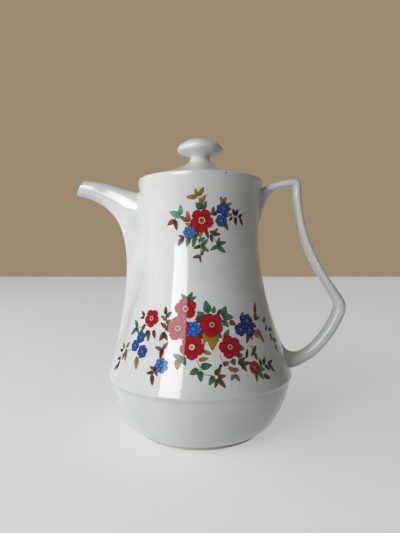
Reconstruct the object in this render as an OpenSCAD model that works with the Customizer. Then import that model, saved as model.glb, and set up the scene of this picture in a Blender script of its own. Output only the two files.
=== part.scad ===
// Porcelain coffee pot with a lift-off lid.
// Millimetres, +Z up. The origin is at the centre of the foot ring, on the table.
// The spout points along -X and the handle along +X, both in the plane y = 0.

/* [Body] */
// Height of the rim's top edge above the table
rim_z = 187; // [181:1:195]
// Outer radius of the rim
rim_r = 47.3; // [46.3:0.1:49.3]
// Thickness of the rounded rim edge
rim_t = 3.6; // [3:0.1:4.4]
// How far the neck's waist lies inside the rim
neck_in = 2.5; // [1:0.1:4]
// Height of the waist
neck_z = 150; // [142:1:156]
// Radius of the ridge round the belly
ridge_r = 70; // [67:0.5:75]
// Height of the ridge
ridge_z = 42; // [38:0.5:48]
// Radius of the ridge's rounded nose
ridge_nose = 2; // [1:0.1:3]
// Depth of the shallow groove under the ridge
ridge_groove = 0.9; // [0.4:0.1:1.6]
// Lean of the wall just above the ridge, in degrees
shoulder_lean = 21; // [16:1:25]
// Wall thickness of the body
wall = 3.8; // [3:0.1:4.4]

/* [Foot] */
// Outer radius of the foot ring
foot_r = 48.4; // [45:0.5:52]
// Height of the foot ring
foot_h = 2.4; // [1.6:0.1:4]
// Width of the foot ring's standing edge
foot_w = 4.4; // [3:0.1:6]
// Rounding of the foot ring's lower edges
foot_round = 0.8; // [0.3:0.1:1]

/* [Lid seat] */
// Depth of the lid seat below the rim's top edge
seat_drop = 4.6; // [3.6:0.1:6]
// How far the seat ledge stands in from the wall of the neck
seat_lip = 1; // [0.4:0.1:2]
// Thickness of the seat ledge
seat_t = 3.6; // [2.6:0.1:5]
// Height over which the ledge tapers back into the wall
seat_taper = 7; // [4:0.5:10]

/* [Spout] */
// How far the mouth's centre stands out from the pot's axis
mouth_reach = 92.2; // [86:0.2:100]
// Height of the mouth's centre
mouth_z = 181.8; // [176:0.2:188]
// Height of the oval mouth
mouth_h = 12; // [10:0.2:15]
// Width of the oval mouth
mouth_w = 12.4; // [10:0.2:16]
// Backward tilt of the mouth, in degrees
mouth_tilt = 24; // [10:1:35]
// Height of the root's lower tip above the ridge
root_low = 2.5; // [1.5:0.5:8]
// Depth of the root's upper edge below the rim's top edge
root_drop = 9.5; // [8:0.5:14]
// Width of the root at its widest
root_w = 46; // [38:1:54]
// Wall thickness of the spout at its mouth
mouth_wall = 2.1; // [1.6:0.1:2.6]
// Width of the port in the body behind the spout
port_w = 16; // [10:0.5:18]
// Height of the port's lower end
port_low = 114; // [108:1:122]
// Height of the port's upper end
port_high = 160; // [150:1:164]

/* [Handle] */
// How far the elbow's middle line stands out from the pot's axis
elbow_reach = 108.8; // [100:0.2:118]
// Height of the elbow
elbow_z = 92; // [84:1:100]
// How far the upright's middle line stands out at the top
upright_reach = 74.6; // [70:0.2:80]
// Depth of the top arm's middle line below the rim's top edge
arm_drop = 1.2; // [0:0.1:4]
// Thickness of the top arm and the upright
arm_t = 6.6; // [5:0.1:8]
// Thickness of the elbow
elbow_t = 9.2; // [7:0.1:11]
// Thickness of the lower arm
low_arm_t = 8.2; // [6:0.1:10]
// Width of the handle, across the plane it lies in
handle_w = 13; // [10:0.5:16]
// Length of the upper root down the body
top_root_h = 28; // [20:1:34]
// Height of the lower root's middle line above the ridge
low_root_rise = 5.2; // [4:0.2:8]
// Length of the lower root up the body
low_root_h = 27; // [18:1:32]

/* [Lid] */
// Gap between the lid's edge and the rim
lid_gap = 0.6; // [0.3:0.1:1]
// Gap under the lid, where it rests on the seat
lid_rest = 0.2; // [0.1:0.05:0.3]
// Thickness of the lid's edge
lid_edge_t = 3.2; // [2.4:0.1:4]
// Height of the lid's crown above the rim's top edge
crown_rise = 13.5; // [10:0.1:18]
// Thickness of the domed cover
cover_t = 3.6; // [3:0.1:4.2]
// Length of the locating flange under the lid
flange_h = 14; // [8:1:20]
// Wall thickness of the locating flange
flange_t = 3.2; // [2.4:0.1:4]
// Gap between the locating flange and the seat ledge
flange_gap = 0.8; // [0.4:0.1:1.2]
// Diameter of the steam vent
vent_d = 3; // [2:0.5:4]
// Distance of the steam vent from the axis
vent_r = 27; // [22:1:29]

/* [Knob] */
// Radius of the knob's cap
knob_r = 17.5; // [15:0.5:20]
// Radius of the knob's stem at its thinnest
stem_r = 7.5; // [6:0.1:8.5]
// Radius of the knob's foot, where it joins the crown
knob_foot_r = 10; // [9.5:0.1:11]
// Height of the stem's thinnest place above the crown
stem_h = 4.1; // [3.6:0.1:6]
// Height of the whole knob above the crown
knob_h = 18.7; // [17:0.1:23]

/* [Hidden] */
$fn = 96;
glaze = "#f3f1ec";
biscuit = "#d9cfc0";

// ---- curves ----

// A point on the cubic curve with four control points
function cubic(p, t) =
    let (s = 1 - t) s * s * s * p[0] + 3 * s * s * t * p[1] + 3 * s * t * t * p[2] + t * t * t * p[3];
// The points of that curve, in n steps; `from` leaves out the first ones
function curve(p, n, from = 0) = [for (i = [from:n]) cubic(p, i / n)];
// A value that runs from a to b
function mix(a, b, t) = a + (b - a) * t;
// A value that runs through a, b and c as s runs from -1 through 0 to 1
function mix3(a, b, c, s) = b + (c - a) / 2 * s + ((a + c) / 2 - b) * s * s;
function unit(v) = v / norm(v);
// The part of an outline that lies between two heights
function between(points, low, high) = [for (p = points) if (p[1] > low && p[1] < high) p];
// The outline moved to its left by a wall's thickness
function inward(points, t) = [
    for (i = [0:len(points) - 1])
        let (a = points[max(i - 1, 0)], b = points[min(i + 1, len(points) - 1)], d = unit(b - a))
            points[i] + t * [-d[1], d[0]]
];

// ---- body outline, as [radius, height] ----

rim_round = rim_t / 2;
neck_r = rim_r - neck_in;
seat_r = neck_r - wall - seat_lip;
shoulder = ridge_z + ridge_nose * sin(shoulder_lean);
shoulder_r = ridge_r - ridge_nose * (1 - cos(shoulder_lean));
shoulder_pull = 0.45 * (neck_z - shoulder);
neck_pull = 0.33 * (neck_z - shoulder);
bowl = curve([
    [foot_r, foot_h],
    [foot_r + 10.6, foot_h + 1.8],
    [ridge_r - 3.1, mix(foot_h, ridge_z, 0.6)],
    [ridge_r - ridge_groove, ridge_z - 1.3 * ridge_nose]
], 12);
nose = [
    for (a = [-40:15:shoulder_lean - 4])
        [ridge_r - ridge_nose * (1 - cos(a)), ridge_z + ridge_nose * sin(a)]
];
shoulder_curve = curve([
    [shoulder_r, shoulder],
    [shoulder_r - shoulder_pull * tan(shoulder_lean), shoulder + shoulder_pull],
    [neck_r, neck_z - neck_pull],
    [neck_r, neck_z]
], 18);
rim_low = rim_z - rim_round;
rim_curve = curve([
    [neck_r, neck_z],
    [neck_r, mix(neck_z, rim_low, 0.35)],
    [rim_r - 2, mix(neck_z, rim_low, 0.75)],
    [rim_r, rim_low]
], 8, 1);
side = concat(bowl, nose, shoulder_curve, rim_curve);
rim_edge = [
    for (a = [30:30:180])
        [rim_r - rim_round * (1 - cos(a)), rim_low + rim_round * sin(a)]
];

// Inside of the body: the same outline one wall further in, with the lid seat on top
gallery_r = rim_r - rim_t;
seat_z = rim_z - seat_drop;
inner_side = between(inward(side, wall), foot_h + wall + 0.2, seat_z - seat_t - seat_taper);
seat_points = [
    [gallery_r, seat_z],
    [seat_r + 0.6, seat_z],
    [seat_r, seat_z - 0.6],
    [seat_r, seat_z - seat_t]
];
body_points = concat(
    [[0, foot_h]],
    side,
    rim_edge,
    seat_points,
    [for (i = [len(inner_side) - 1:-1:0]) inner_side[i]],
    [[foot_r - 2, foot_h + wall], [0, foot_h + wall]]
);

// Outer radius of the body at a height, and the slope of its wall there
side_table = [for (p = side) [p[1], p[0]]];
function body_r(z) = lookup(z, side_table);
function body_slope(z) = (body_r(z + 2) - body_r(z - 2)) / 4;
// Outward direction of the body's surface at an angle from the spout's side
function body_normal(angle, z) = unit([-cos(angle), sin(angle), -body_slope(z)]);

// The body without its hollow: what is luted to the wall is cut back to this
module body_mass() {
    rotate_extrude()
        polygon(concat([[0, foot_h]], side, rim_edge, [[0, rim_z]]));
}

// Opening in the wall behind the spout
module port() {
    round_r = port_w / 2;
    translate([0, 0, port_low + round_r])
        rotate([0, -90, 0])
            cylinder(r = round_r, h = ridge_r);
    translate([0, 0, port_high - round_r])
        rotate([0, -90, 0])
            cylinder(r = round_r, h = ridge_r);
    translate([-ridge_r, -round_r, port_low + round_r])
        cube([ridge_r, port_w, port_high - port_low - port_w]);
}

module pot_body() {
    color(glaze)
        difference() {
            rotate_extrude()
                polygon(body_points);
            port();
        }
}

module foot_ring() {
    inner_r = foot_r - foot_w;
    color(biscuit)
        rotate_extrude()
            polygon(concat(
                [[inner_r, foot_h]],
                [for (a = [180:30:270])
                    [inner_r + foot_round * (1 + cos(a)), foot_round * (1 + sin(a))]],
                [for (a = [270:30:360])
                    [foot_r - foot_round * (1 - cos(a)), foot_round * (1 + sin(a))]],
                [[foot_r, foot_h]]
            ));
}

// ---- lofts ----

// A closed skin over rings of points, each end closed round a middle point
module loft(rings, first, last) {
    n = len(rings[0]);
    m = len(rings);
    points = concat([for (ring = rings) each ring], [first, last]);
    polyhedron(points, concat(
        [for (j = [0:m - 2], i = [0:n - 1])
            let (a = j * n + i, b = j * n + (i + 1) % n) each [[a, b, b + n], [a, b + n, a + n]]],
        [for (i = [0:n - 1]) [(i + 1) % n, i, m * n]],
        [for (i = [0:n - 1]) [(m - 1) * n + i, (m - 1) * n + (i + 1) % n, m * n + 1]]
    ), convexity = 6);
}

// ---- spout ----
// Each line of the spout's skin is a cubic curve from the root's outline, which lies on
// the body, to the oval mouth. The angle u runs round it: -90 is the underside, 90 the
// top. Its outside and its passage are two such skins.

outside_lines = 32;
outside_steps = 16;
passage_lines = 24;
passage_steps = 12;
root_z0 = ridge_z + root_low;
root_z1 = rim_z - root_drop;
passage_z0 = port_low - 9;
passage_z1 = root_z1 - 4.5;
spout_run = mouth_reach - rim_r / 2.15;
// For each skin: the root's lower and upper height, its half width and how much it
// narrows downwards; the lean and length of the lines' start on the underside, side and
// top; how much of it is turned along the wall; the mouth's inset; and the length and
// fall of the lines' end on the underside and top
outside = [
    [root_z0, root_z1], [0.56 * root_w, 0.55],
    [-13, 36, 73], (root_z1 - root_z0) * [0.31, 0.2, 0.113], 0.7,
    0, spout_run * [0.87, 0.21], [8, 0]
];
passage = [
    [passage_z0, passage_z1], [port_w / 2 + 2.5, 0],
    [60, 44, 70], (passage_z1 - passage_z0) * [0.166, 0.25, 0.19], 0,
    mouth_wall, spout_run * [0.78, 0.23], [9, 4]
];

function root_point(skin, u) =
    let (
        q = (1 + sin(u)) / 2,
        z = mix(skin[0][0], skin[0][1], q),
        y = skin[1][0] * cos(u) * pow(q + 0.001, skin[1][1]),
        r = body_r(z)
    ) [-sqrt(r * r - y * y), y, z];
function root_normal(skin, u) =
    let (p = root_point(skin, u)) body_normal(asin(p[1] / body_r(p[2])), p[2]);
function root_pull(skin, u) =
    let (
        lean = mix3(skin[2][0], skin[2][1], skin[2][2], sin(u)),
        pull = mix3(skin[3][0], skin[3][1], skin[3][2], sin(u)),
        v = [-pull * sin(lean), -0.36 * root_point(skin, u)[1], pull * cos(lean)],
        n = root_normal(skin, u)
    ) v - skin[4] * cos(u) * cos(u) * (v * n) * n;
function mouth_point(skin, u) =
    let (h = mouth_h / 2 - skin[5], w = mouth_w / 2 - skin[5])
        [-mouth_reach + h * sin(mouth_tilt) * sin(u), w * cos(u), mouth_z + h * cos(mouth_tilt) * sin(u)];
function mouth_pull(skin, u) =
    let (
        q = (1 + sin(u)) / 2,
        pull = mix(skin[6][0], skin[6][1], q),
        fall = mix(skin[7][0], skin[7][1], q)
    ) [pull * cos(fall), 0.25 * mouth_point(skin, u)[1], -pull * sin(fall)];
function spout_line(skin, u) =
    let (a = root_point(skin, u), b = mouth_point(skin, u))
        [a, a + root_pull(skin, u), b + mouth_pull(skin, u), b];
function angles(n) = [for (i = [0:n - 1]) 360 * i / n];
// Rings of a skin from its root to its mouth, begun `heel` under the body's surface
function skin_rings(skin, lines, steps, heel) = concat(
    [[for (u = angles(lines)) root_point(skin, u) - heel * root_normal(skin, u)]],
    [for (j = [1:steps]) [for (u = angles(lines)) cubic(spout_line(skin, u), j / steps)]]
);

module spout() {
    heart = [-0.5 * neck_r, 0, mix(root_z0, root_z1, 0.6)];
    mouth = [-mouth_reach, 0, mouth_z];
    beyond = 3 * [-cos(mouth_tilt), 0, sin(mouth_tilt)];
    color(glaze)
        difference() {
            loft(skin_rings(outside, outside_lines, outside_steps, 1.6), heart, mouth);
            body_mass();
            loft(
                concat(
                    skin_rings(passage, passage_lines, passage_steps, 3),
                    [[for (u = angles(passage_lines)) mouth_point(passage, u) + beyond]]
                ),
                heart,
                mouth + beyond
            );
        }
}

// ---- handle ----
// The handle's rings each hold an outer and an inner point in the plane y = 0, and a
// half width across it. At the roots they stand on the body; between them they follow
// a middle line of cubic curves.

ring_sides = 20;
arm_z = rim_z - arm_drop;
low_root_z = ridge_z + low_root_rise;
elbow_top = [elbow_reach - 3.2, elbow_z + 8.8];
elbow_foot = [elbow_reach - 1.6, elbow_z - 7.4];
low_root_x = body_r(low_root_z);
top_line = [
    [rim_r + 10.7, arm_z - 2],
    [upright_reach - 8.6, arm_z + 1.2],
    [upright_reach + 1.4, arm_z + 3.8],
    [upright_reach, arm_z - 7.8]
];
upright_line = [
    top_line[3],
    [upright_reach + 0.6, mix(arm_z, elbow_z, 0.47)],
    [mix(upright_reach, elbow_reach, 0.5), mix(arm_z, elbow_z, 0.69)],
    elbow_top
];
elbow_line = [
    elbow_top,
    elbow_top + [4.1, -6.4],
    elbow_foot + [2.4, 5.4],
    elbow_foot
];
low_line = [
    elbow_foot,
    elbow_foot + [-9, -22.4],
    [low_root_x + 11, low_root_z + 2.6],
    [low_root_x + 6, low_root_z + 0.4]
];

// A ring square to the middle line, as [outer point, inner point, half width]
function square_ring(line, t, thick) =
    let (
        p = cubic(line, t),
        d = unit(cubic(line, t + 0.01) - cubic(line, t - 0.01)),
        out = [-d[1], d[0]] * thick / 2
    ) [p + out, p - out, handle_w / 2];
// Rings along one curve, with the thickness running from t0 to t1
function rings_along(line, n, t0, t1, from = 1) =
    [for (i = [from:n]) square_ring(line, i / n, mix(t0, t1, (1 - cos(180 * i / n)) / 2))];
// A ring at a root: heights of its outer and inner points and how far they stand out
function root_ring(z_out, out, z_in, in, half_w) =
    [[body_r(z_out) + out, z_out], [body_r(z_in) + in, z_in], half_w];

top_root = [
    root_ring(arm_z - 4.4, -3, arm_z - 4.4 - top_root_h, -3, 4.4),
    root_ring(arm_z - 3.8, 1.6, arm_z - 2.8 - top_root_h, 1.9, 4.6),
    root_ring(arm_z - 2.7, 3.4, arm_z - 9 - 0.45 * top_root_h, 3.1, 5.3),
    root_ring(arm_z - 1.3, 6, arm_z - 13, 4.5, 6)
];
low_root = [
    [[low_root_x + 4.6, low_root_z - 4.1], [low_root_x + 5.8, low_root_z + 6.9], handle_w / 2],
    [[low_root_x + 2.4, low_root_z - 5], [low_root_x + 0.4, low_root_z + 10.5], handle_w / 2 - 0.4],
    root_ring(low_root_z - 5.3, 0.6, low_root_z - 6 + 0.8 * low_root_h, 2.2, handle_w / 2 - 1.2),
    root_ring(low_root_z - 5.3, -3.4, low_root_z - 6 + low_root_h, -3.4, handle_w / 2 - 2)
];
handle_rings = concat(
    top_root,
    rings_along(top_line, 9, arm_t, arm_t, 0),
    rings_along(upright_line, 12, arm_t, mix(arm_t, elbow_t, 0.1)),
    rings_along(elbow_line, 6, mix(arm_t, elbow_t, 0.1), elbow_t),
    rings_along(low_line, 10, elbow_t, low_arm_t),
    low_root
);

// The oval of a ring, a little squarer than an ellipse
function squarer(v) = sign(v) * pow(abs(v), 0.85);
function ring_points(ring) =
    let (middle = (ring[0] + ring[1]) / 2, reach = (ring[0] - ring[1]) / 2)
        [for (i = [0:ring_sides - 1])
            let (a = 360 * i / ring_sides, p = middle + reach * squarer(cos(a)))
                [p[0], ring[2] * squarer(sin(a)), p[1]]];

module handle() {
    first = handle_rings[0];
    last = handle_rings[len(handle_rings) - 1];
    color(glaze)
        difference() {
            loft(
                [for (ring = handle_rings) ring_points(ring)],
                [(first[0][0] + first[1][0]) / 2 - 1, 0, (first[0][1] + first[1][1]) / 2],
                [(last[0][0] + last[1][0]) / 2 - 1, 0, (last[0][1] + last[1][1]) / 2]
            );
            body_mass();
        }
}

// ---- lid ----

cover_low = seat_z + lid_rest;
cover_r = gallery_r - lid_gap;
crown_z = rim_z + crown_rise;
flange_r = seat_r - flange_gap;
cover_shoulder = [cover_r - 0.9, cover_low + lid_edge_t];
cover_run = cover_r - knob_foot_r;
cover_top = curve([
    cover_shoulder,
    [cover_r - 0.3 * cover_run, mix(cover_low + lid_edge_t, crown_z, 0.31)],
    [cover_r - 0.75 * cover_run, mix(cover_low + lid_edge_t, crown_z, 0.65)],
    [knob_foot_r, crown_z]
], 14);
hollow_r = flange_r - flange_t - 0.4;
cover_hollow = curve([
    [0, crown_z - cover_t],
    [0.35 * hollow_r, crown_z - cover_t],
    [0.62 * hollow_r, mix(cover_low, crown_z - cover_t, 0.62)],
    [hollow_r, cover_low]
], 12);

module lid_cover() {
    color(glaze)
        difference() {
            rotate_extrude()
                polygon(concat(
                    cover_hollow,
                    [[cover_r, cover_low], [cover_r, cover_low + lid_edge_t - 0.9]],
                    cover_top,
                    [[0, crown_z]]
                ));
            translate([vent_r, 0, cover_low])
                cylinder(d = vent_d, h = knob_h);
        }
}

module lid_flange() {
    color(glaze)
        translate([0, 0, cover_low - flange_h])
            difference() {
                cylinder(r = flange_r, h = flange_h);
                translate([0, 0, -1])
                    cylinder(r = flange_r - flange_t, h = flange_h + 2);
            }
}

stem_z = crown_z + stem_h;
top_z = crown_z + knob_h;
cap_z = mix(stem_z, top_z, 0.24);
knob_side = concat(
    curve([
        [knob_foot_r, crown_z],
        [stem_r + 1, crown_z + 0.8],
        [stem_r, crown_z + 0.55 * stem_h],
        [stem_r, stem_z]
    ], 6),
    curve([
        [stem_r, stem_z],
        [stem_r + 0.1, stem_z + 2.4],
        [mix(stem_r, knob_r, 0.5), stem_z + 1.9],
        [knob_r - 2.2, cap_z]
    ], 8, 1),
    curve([
        [knob_r - 2.2, cap_z],
        [knob_r + 0.7, mix(cap_z, top_z, 0.12)],
        [knob_r + 0.7, mix(cap_z, top_z, 0.38)],
        [knob_r - 2.1, mix(cap_z, top_z, 0.63)]
    ], 8, 1),
    curve([
        [knob_r - 2.1, mix(cap_z, top_z, 0.63)],
        [0.66 * knob_r, mix(cap_z, top_z, 0.92)],
        [0.34 * knob_r, top_z],
        [0, top_z]
    ], 8, 1)
);

module lid_knob() {
    color(glaze)
        rotate_extrude()
            polygon(concat([[0, crown_z]], knob_side));
}

pot_body();
foot_ring();
spout();
handle();
lid_cover();
lid_flange();
lid_knob();
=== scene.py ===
"""Porcelain coffee pot with floral transfers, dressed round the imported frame."""

from __future__ import annotations

import logging
import math
from dataclasses import dataclass, field
from enum import Enum
from typing import Callable, Sequence

import bpy
import numpy as np
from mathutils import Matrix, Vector


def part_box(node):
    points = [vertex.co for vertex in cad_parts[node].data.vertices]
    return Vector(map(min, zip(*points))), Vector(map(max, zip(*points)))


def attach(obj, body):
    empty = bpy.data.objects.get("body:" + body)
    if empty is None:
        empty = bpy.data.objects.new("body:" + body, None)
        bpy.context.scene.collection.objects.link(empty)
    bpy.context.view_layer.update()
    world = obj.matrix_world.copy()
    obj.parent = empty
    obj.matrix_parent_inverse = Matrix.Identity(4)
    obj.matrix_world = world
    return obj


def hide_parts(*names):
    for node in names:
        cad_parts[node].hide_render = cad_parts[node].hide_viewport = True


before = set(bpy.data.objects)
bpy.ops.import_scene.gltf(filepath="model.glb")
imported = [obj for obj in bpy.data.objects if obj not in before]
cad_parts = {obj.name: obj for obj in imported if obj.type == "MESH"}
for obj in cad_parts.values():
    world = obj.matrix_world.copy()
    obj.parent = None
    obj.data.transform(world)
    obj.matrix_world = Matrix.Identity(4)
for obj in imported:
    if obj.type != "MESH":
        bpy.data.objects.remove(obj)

LOG = logging.getLogger("coffee_pot")
MM = 0.001
COLUMNS = 192
TINY = 1e-9
CRISP = 40.0  # edges that turn by more than this, in degrees, stay crisp

Array = np.ndarray
Pair = tuple[float, float]
Colour = tuple[float, float, float]


# ---- arithmetic ----


def mix(a: float, b: float, t: float) -> float:
    """Value that runs from a to b as t runs from 0 to 1."""
    return a + (b - a) * t


def mix3(values: Sequence[float], s: Array) -> Array:
    """Value that runs through three values as s runs from -1 through 0 to 1."""
    a, b, c = values
    return b + (c - a) / 2 * s + ((a + c) / 2 - b) * s * s


def unit(v: Array) -> Array:
    """Vectors of the same direction with length 1."""
    return v / np.maximum(np.linalg.norm(v, axis=-1, keepdims=True), TINY)


def cubic(points: Sequence[Array], t: Array) -> Array:
    """Points on a cubic curve.

    Args:
        points: The curve's four control points, each one point or one per line.
        t: The parameters, from 0 to 1.

    Returns:
        One point for each parameter.
    """
    t = np.asarray(t, float)[..., None]
    s = 1 - t
    a, b, c, d = (np.asarray(p, float) for p in points)
    return s**3 * a + 3 * s * s * t * b + 3 * s * t * t * c + t**3 * d


def swept(a: Array, b: Array, c: Array, t: Array | float) -> Array:
    """Points on the curve that leaves a towards b and reaches c as if from b."""
    return (1 - t) ** 2 * a + 2 * t * (1 - t) * b + t * t * c


def turns(count: int) -> Array:
    """Angles at even steps round a circle, in radians."""
    return np.radians(np.arange(count) * 360 / count)


def arc(centre: Pair, radius: float, start: float, end: float, steps: int) -> Array:
    """Points on an arc in the plane.

    Args:
        centre: Its centre.
        radius: Its radius.
        start: Its first angle in degrees.
        end: Its last angle in degrees.
        steps: How many points it has, less one.

    Returns:
        The points, as (radius, height).
    """
    a = np.radians(np.linspace(start, end, steps + 1))
    return np.stack([centre[0] + radius * np.cos(a), centre[1] + radius * np.sin(a)], 1)


def rounded(corners: Sequence[tuple[float, float, float]], steps: int = 6) -> Array:
    """A straight-sided path whose corners are rounded.

    Args:
        corners: Each corner's radius, height and rounding.
        steps: Points on each rounded corner, less one.

    Returns:
        The path's points.
    """
    path: list[Array] = []
    for i, (r, z, cut) in enumerate(corners):
        here = np.array([r, z])
        if cut <= 0 or i in (0, len(corners) - 1):
            path.append(here)
            continue
        back = np.array(corners[i - 1][:2]) - here
        on = np.array(corners[i + 1][:2]) - here
        reach = min(cut, 0.48 * np.linalg.norm(back), 0.48 * np.linalg.norm(on))
        a, b = here + reach * unit(back), here + reach * unit(on)
        for t in np.linspace(0, 1, steps + 1):
            path.append(swept(a, here, b, t))
    return np.array(path)


def evened(path: Array, step: float) -> Array:
    """The same path with points at even distances.

    Args:
        path: The path's points.
        step: The distance between the new points.

    Returns:
        The new points, with the path's own ends.
    """
    run = np.concatenate([[0], np.cumsum(np.linalg.norm(np.diff(path, axis=0), axis=1))])
    s = np.linspace(0, run[-1], max(2, int(round(run[-1] / step)) + 1))
    return np.stack([np.interp(s, run, path[:, k]) for k in range(path.shape[1])], 1)


def joined(*paths: Array) -> Array:
    """Paths laid end to end, without doubled points.

    Args:
        paths: The paths, in order.

    Returns:
        One path.
    """
    points = np.concatenate(paths)
    keep = [0]
    for i in range(1, len(points)):
        if np.linalg.norm(points[i] - points[keep[-1]]) > 0.01:
            keep.append(i)
    return points[keep]


# ---- meshes ----


def placed(name: str, data: bpy.types.ID) -> bpy.types.Object:
    """A new object in the scene.

    Args:
        name: The object's name.
        data: Its mesh, lamp or camera.

    Returns:
        The object.
    """
    piece = bpy.data.objects.new(name, data)
    bpy.context.scene.collection.objects.link(piece)
    return piece


def skinned(
    name: str, rows: Sequence[Array], wrap: bool = False, sharp: float = CRISP
) -> bpy.types.Object:
    """A mesh of closed rings of points and the quads between them.

    Args:
        name: The object's name.
        rows: The rings, in millimetres. One with a single point closes the mesh there.
        wrap: Whether the last ring joins the first.
        sharp: Edges that turn by more than this, in degrees, stay crisp.

    Returns:
        The new object, in metres.
    """
    firsts = np.cumsum([0, *map(len, rows)])
    numbers = [range(first, first + len(row)) for first, row in zip(firsts.tolist(), rows)]
    pairs = list(zip(numbers, numbers[1:]))
    if wrap:
        pairs.append((numbers[-1], numbers[0]))
    faces = []
    for a, b in pairs:
        n = max(len(a), len(b))
        for i in range(n):
            k = (i + 1) % n
            if len(a) == 1:
                faces.append((a[0], b[k], b[i]))
            elif len(b) == 1:
                faces.append((a[i], a[k], b[0]))
            else:
                faces.append((a[i], a[k], b[k], b[i]))
    mesh = bpy.data.meshes.new(name)
    mesh.from_pydata((np.concatenate(rows) * MM).tolist(), [], faces)
    mesh.update()
    mesh.shade_smooth()
    mesh.set_sharp_from_angle(angle=math.radians(sharp))
    return placed(name, mesh)


def capped(rows: Sequence[Array]) -> list[Array]:
    """Rings with a point in the middle of the first and of the last, which closes them."""
    return [rows[0].mean(0)[None], *rows, rows[-1].mean(0)[None]]


def revolved(name: str, path: Array, wrap: bool = False) -> bpy.types.Object:
    """A mesh turned about the pot's axis.

    Args:
        name: The object's name.
        path: The outline, as (radius, height). Its outside is on its right.
        wrap: Whether the outline closes on itself.

    Returns:
        The new object.
    """
    a = turns(COLUMNS)
    rows = []
    for r, z in path:
        if r < TINY:
            rows.append(np.array([[0.0, 0.0, z]]))
        else:
            rows.append(np.stack([r * np.cos(a), r * np.sin(a), np.full(COLUMNS, z)], 1))
    return skinned(name, rows, wrap)


def pierce(piece: bpy.types.Object, cutter: bpy.types.Object) -> None:
    """Cuts one closed mesh out of another and keeps the new edges crisp.

    Args:
        piece: The mesh that is cut. It keeps its name.
        cutter: The mesh that is taken out of it, which is then removed.
    """
    tool = piece.modifiers.new("hole", "BOOLEAN")
    tool.operation = "DIFFERENCE"
    tool.solver = "EXACT"
    tool.object = cutter
    bpy.context.view_layer.update()
    seen = piece.evaluated_get(bpy.context.evaluated_depsgraph_get())
    mesh = bpy.data.meshes.new_from_object(seen)
    piece.modifiers.clear()
    piece.data = mesh
    bpy.data.objects.remove(cutter)
    mesh.set_sharp_from_angle(angle=math.radians(CRISP))


def finish_piece(
    piece: bpy.types.Object,
    material: bpy.types.Material,
    body: str,
    nodes: Sequence[str] = (),
) -> None:
    """Dresses a piece and ties it to the frame.

    Args:
        piece: The piece.
        material: Its finish.
        body: The body that it rides on.
        nodes: The CAD nodes that it stands for.
    """
    piece.data.materials.clear()
    piece.data.materials.append(material)
    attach(piece, body)
    if nodes:
        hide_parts(*nodes)
    LOG.info("%s: %d faces", piece.name, len(piece.data.polygons))


# ---- shaders ----


def paint(red: int, green: int, blue: int) -> Colour:
    """A colour given as it looks on a screen, from 0 to 255, as the shader takes it.

    Args:
        red: Its red.
        green: Its green.
        blue: Its blue.

    Returns:
        The colour, linear.
    """
    parts = []
    for value in (red, green, blue):
        c = value / 255
        parts.append(c / 12.92 if c <= 0.04045 else ((c + 0.055) / 1.055) ** 2.4)
    return parts[0], parts[1], parts[2]


class Value:
    """A number socket that takes part in arithmetic."""

    def __init__(self, tree: "Tree", socket: bpy.types.NodeSocket) -> None:
        """Keeps the tree and the socket."""
        self.tree = tree
        self.socket = socket

    def math(self, operation: str, *terms: "Value | float") -> "Value":
        """Adds a Math node.

        Args:
            operation: The node's operation.
            terms: Its inputs.

        Returns:
            The node's result.
        """
        return self.tree.value("ShaderNodeMath", {"operation": operation}, dict(enumerate(terms)))

    def __add__(self, other: "Value | float") -> "Value":
        """Sum."""
        return self.math("ADD", self, other)

    __radd__ = __add__

    def __mul__(self, other: "Value | float") -> "Value":
        """Product."""
        return self.math("MULTIPLY", self, other)

    __rmul__ = __mul__

    def __sub__(self, other: "Value | float") -> "Value":
        """Difference."""
        return self.math("SUBTRACT", self, other)

    def __rsub__(self, other: float) -> "Value":
        """Difference from a plain number."""
        return self.math("SUBTRACT", other, self)

    def ramp(self, low: float, high: float) -> "Value":
        """Rises smoothly from 0 at low to 1 at high.

        Args:
            low: Where it starts to rise.
            high: Where it reaches 1.

        Returns:
            The risen value.
        """
        settings = {"interpolation_type": "SMOOTHSTEP", "clamp": True}
        sockets = {"Value": self, "From Min": low, "From Max": high}
        return self.tree.value("ShaderNodeMapRange", settings, sockets)


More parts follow.
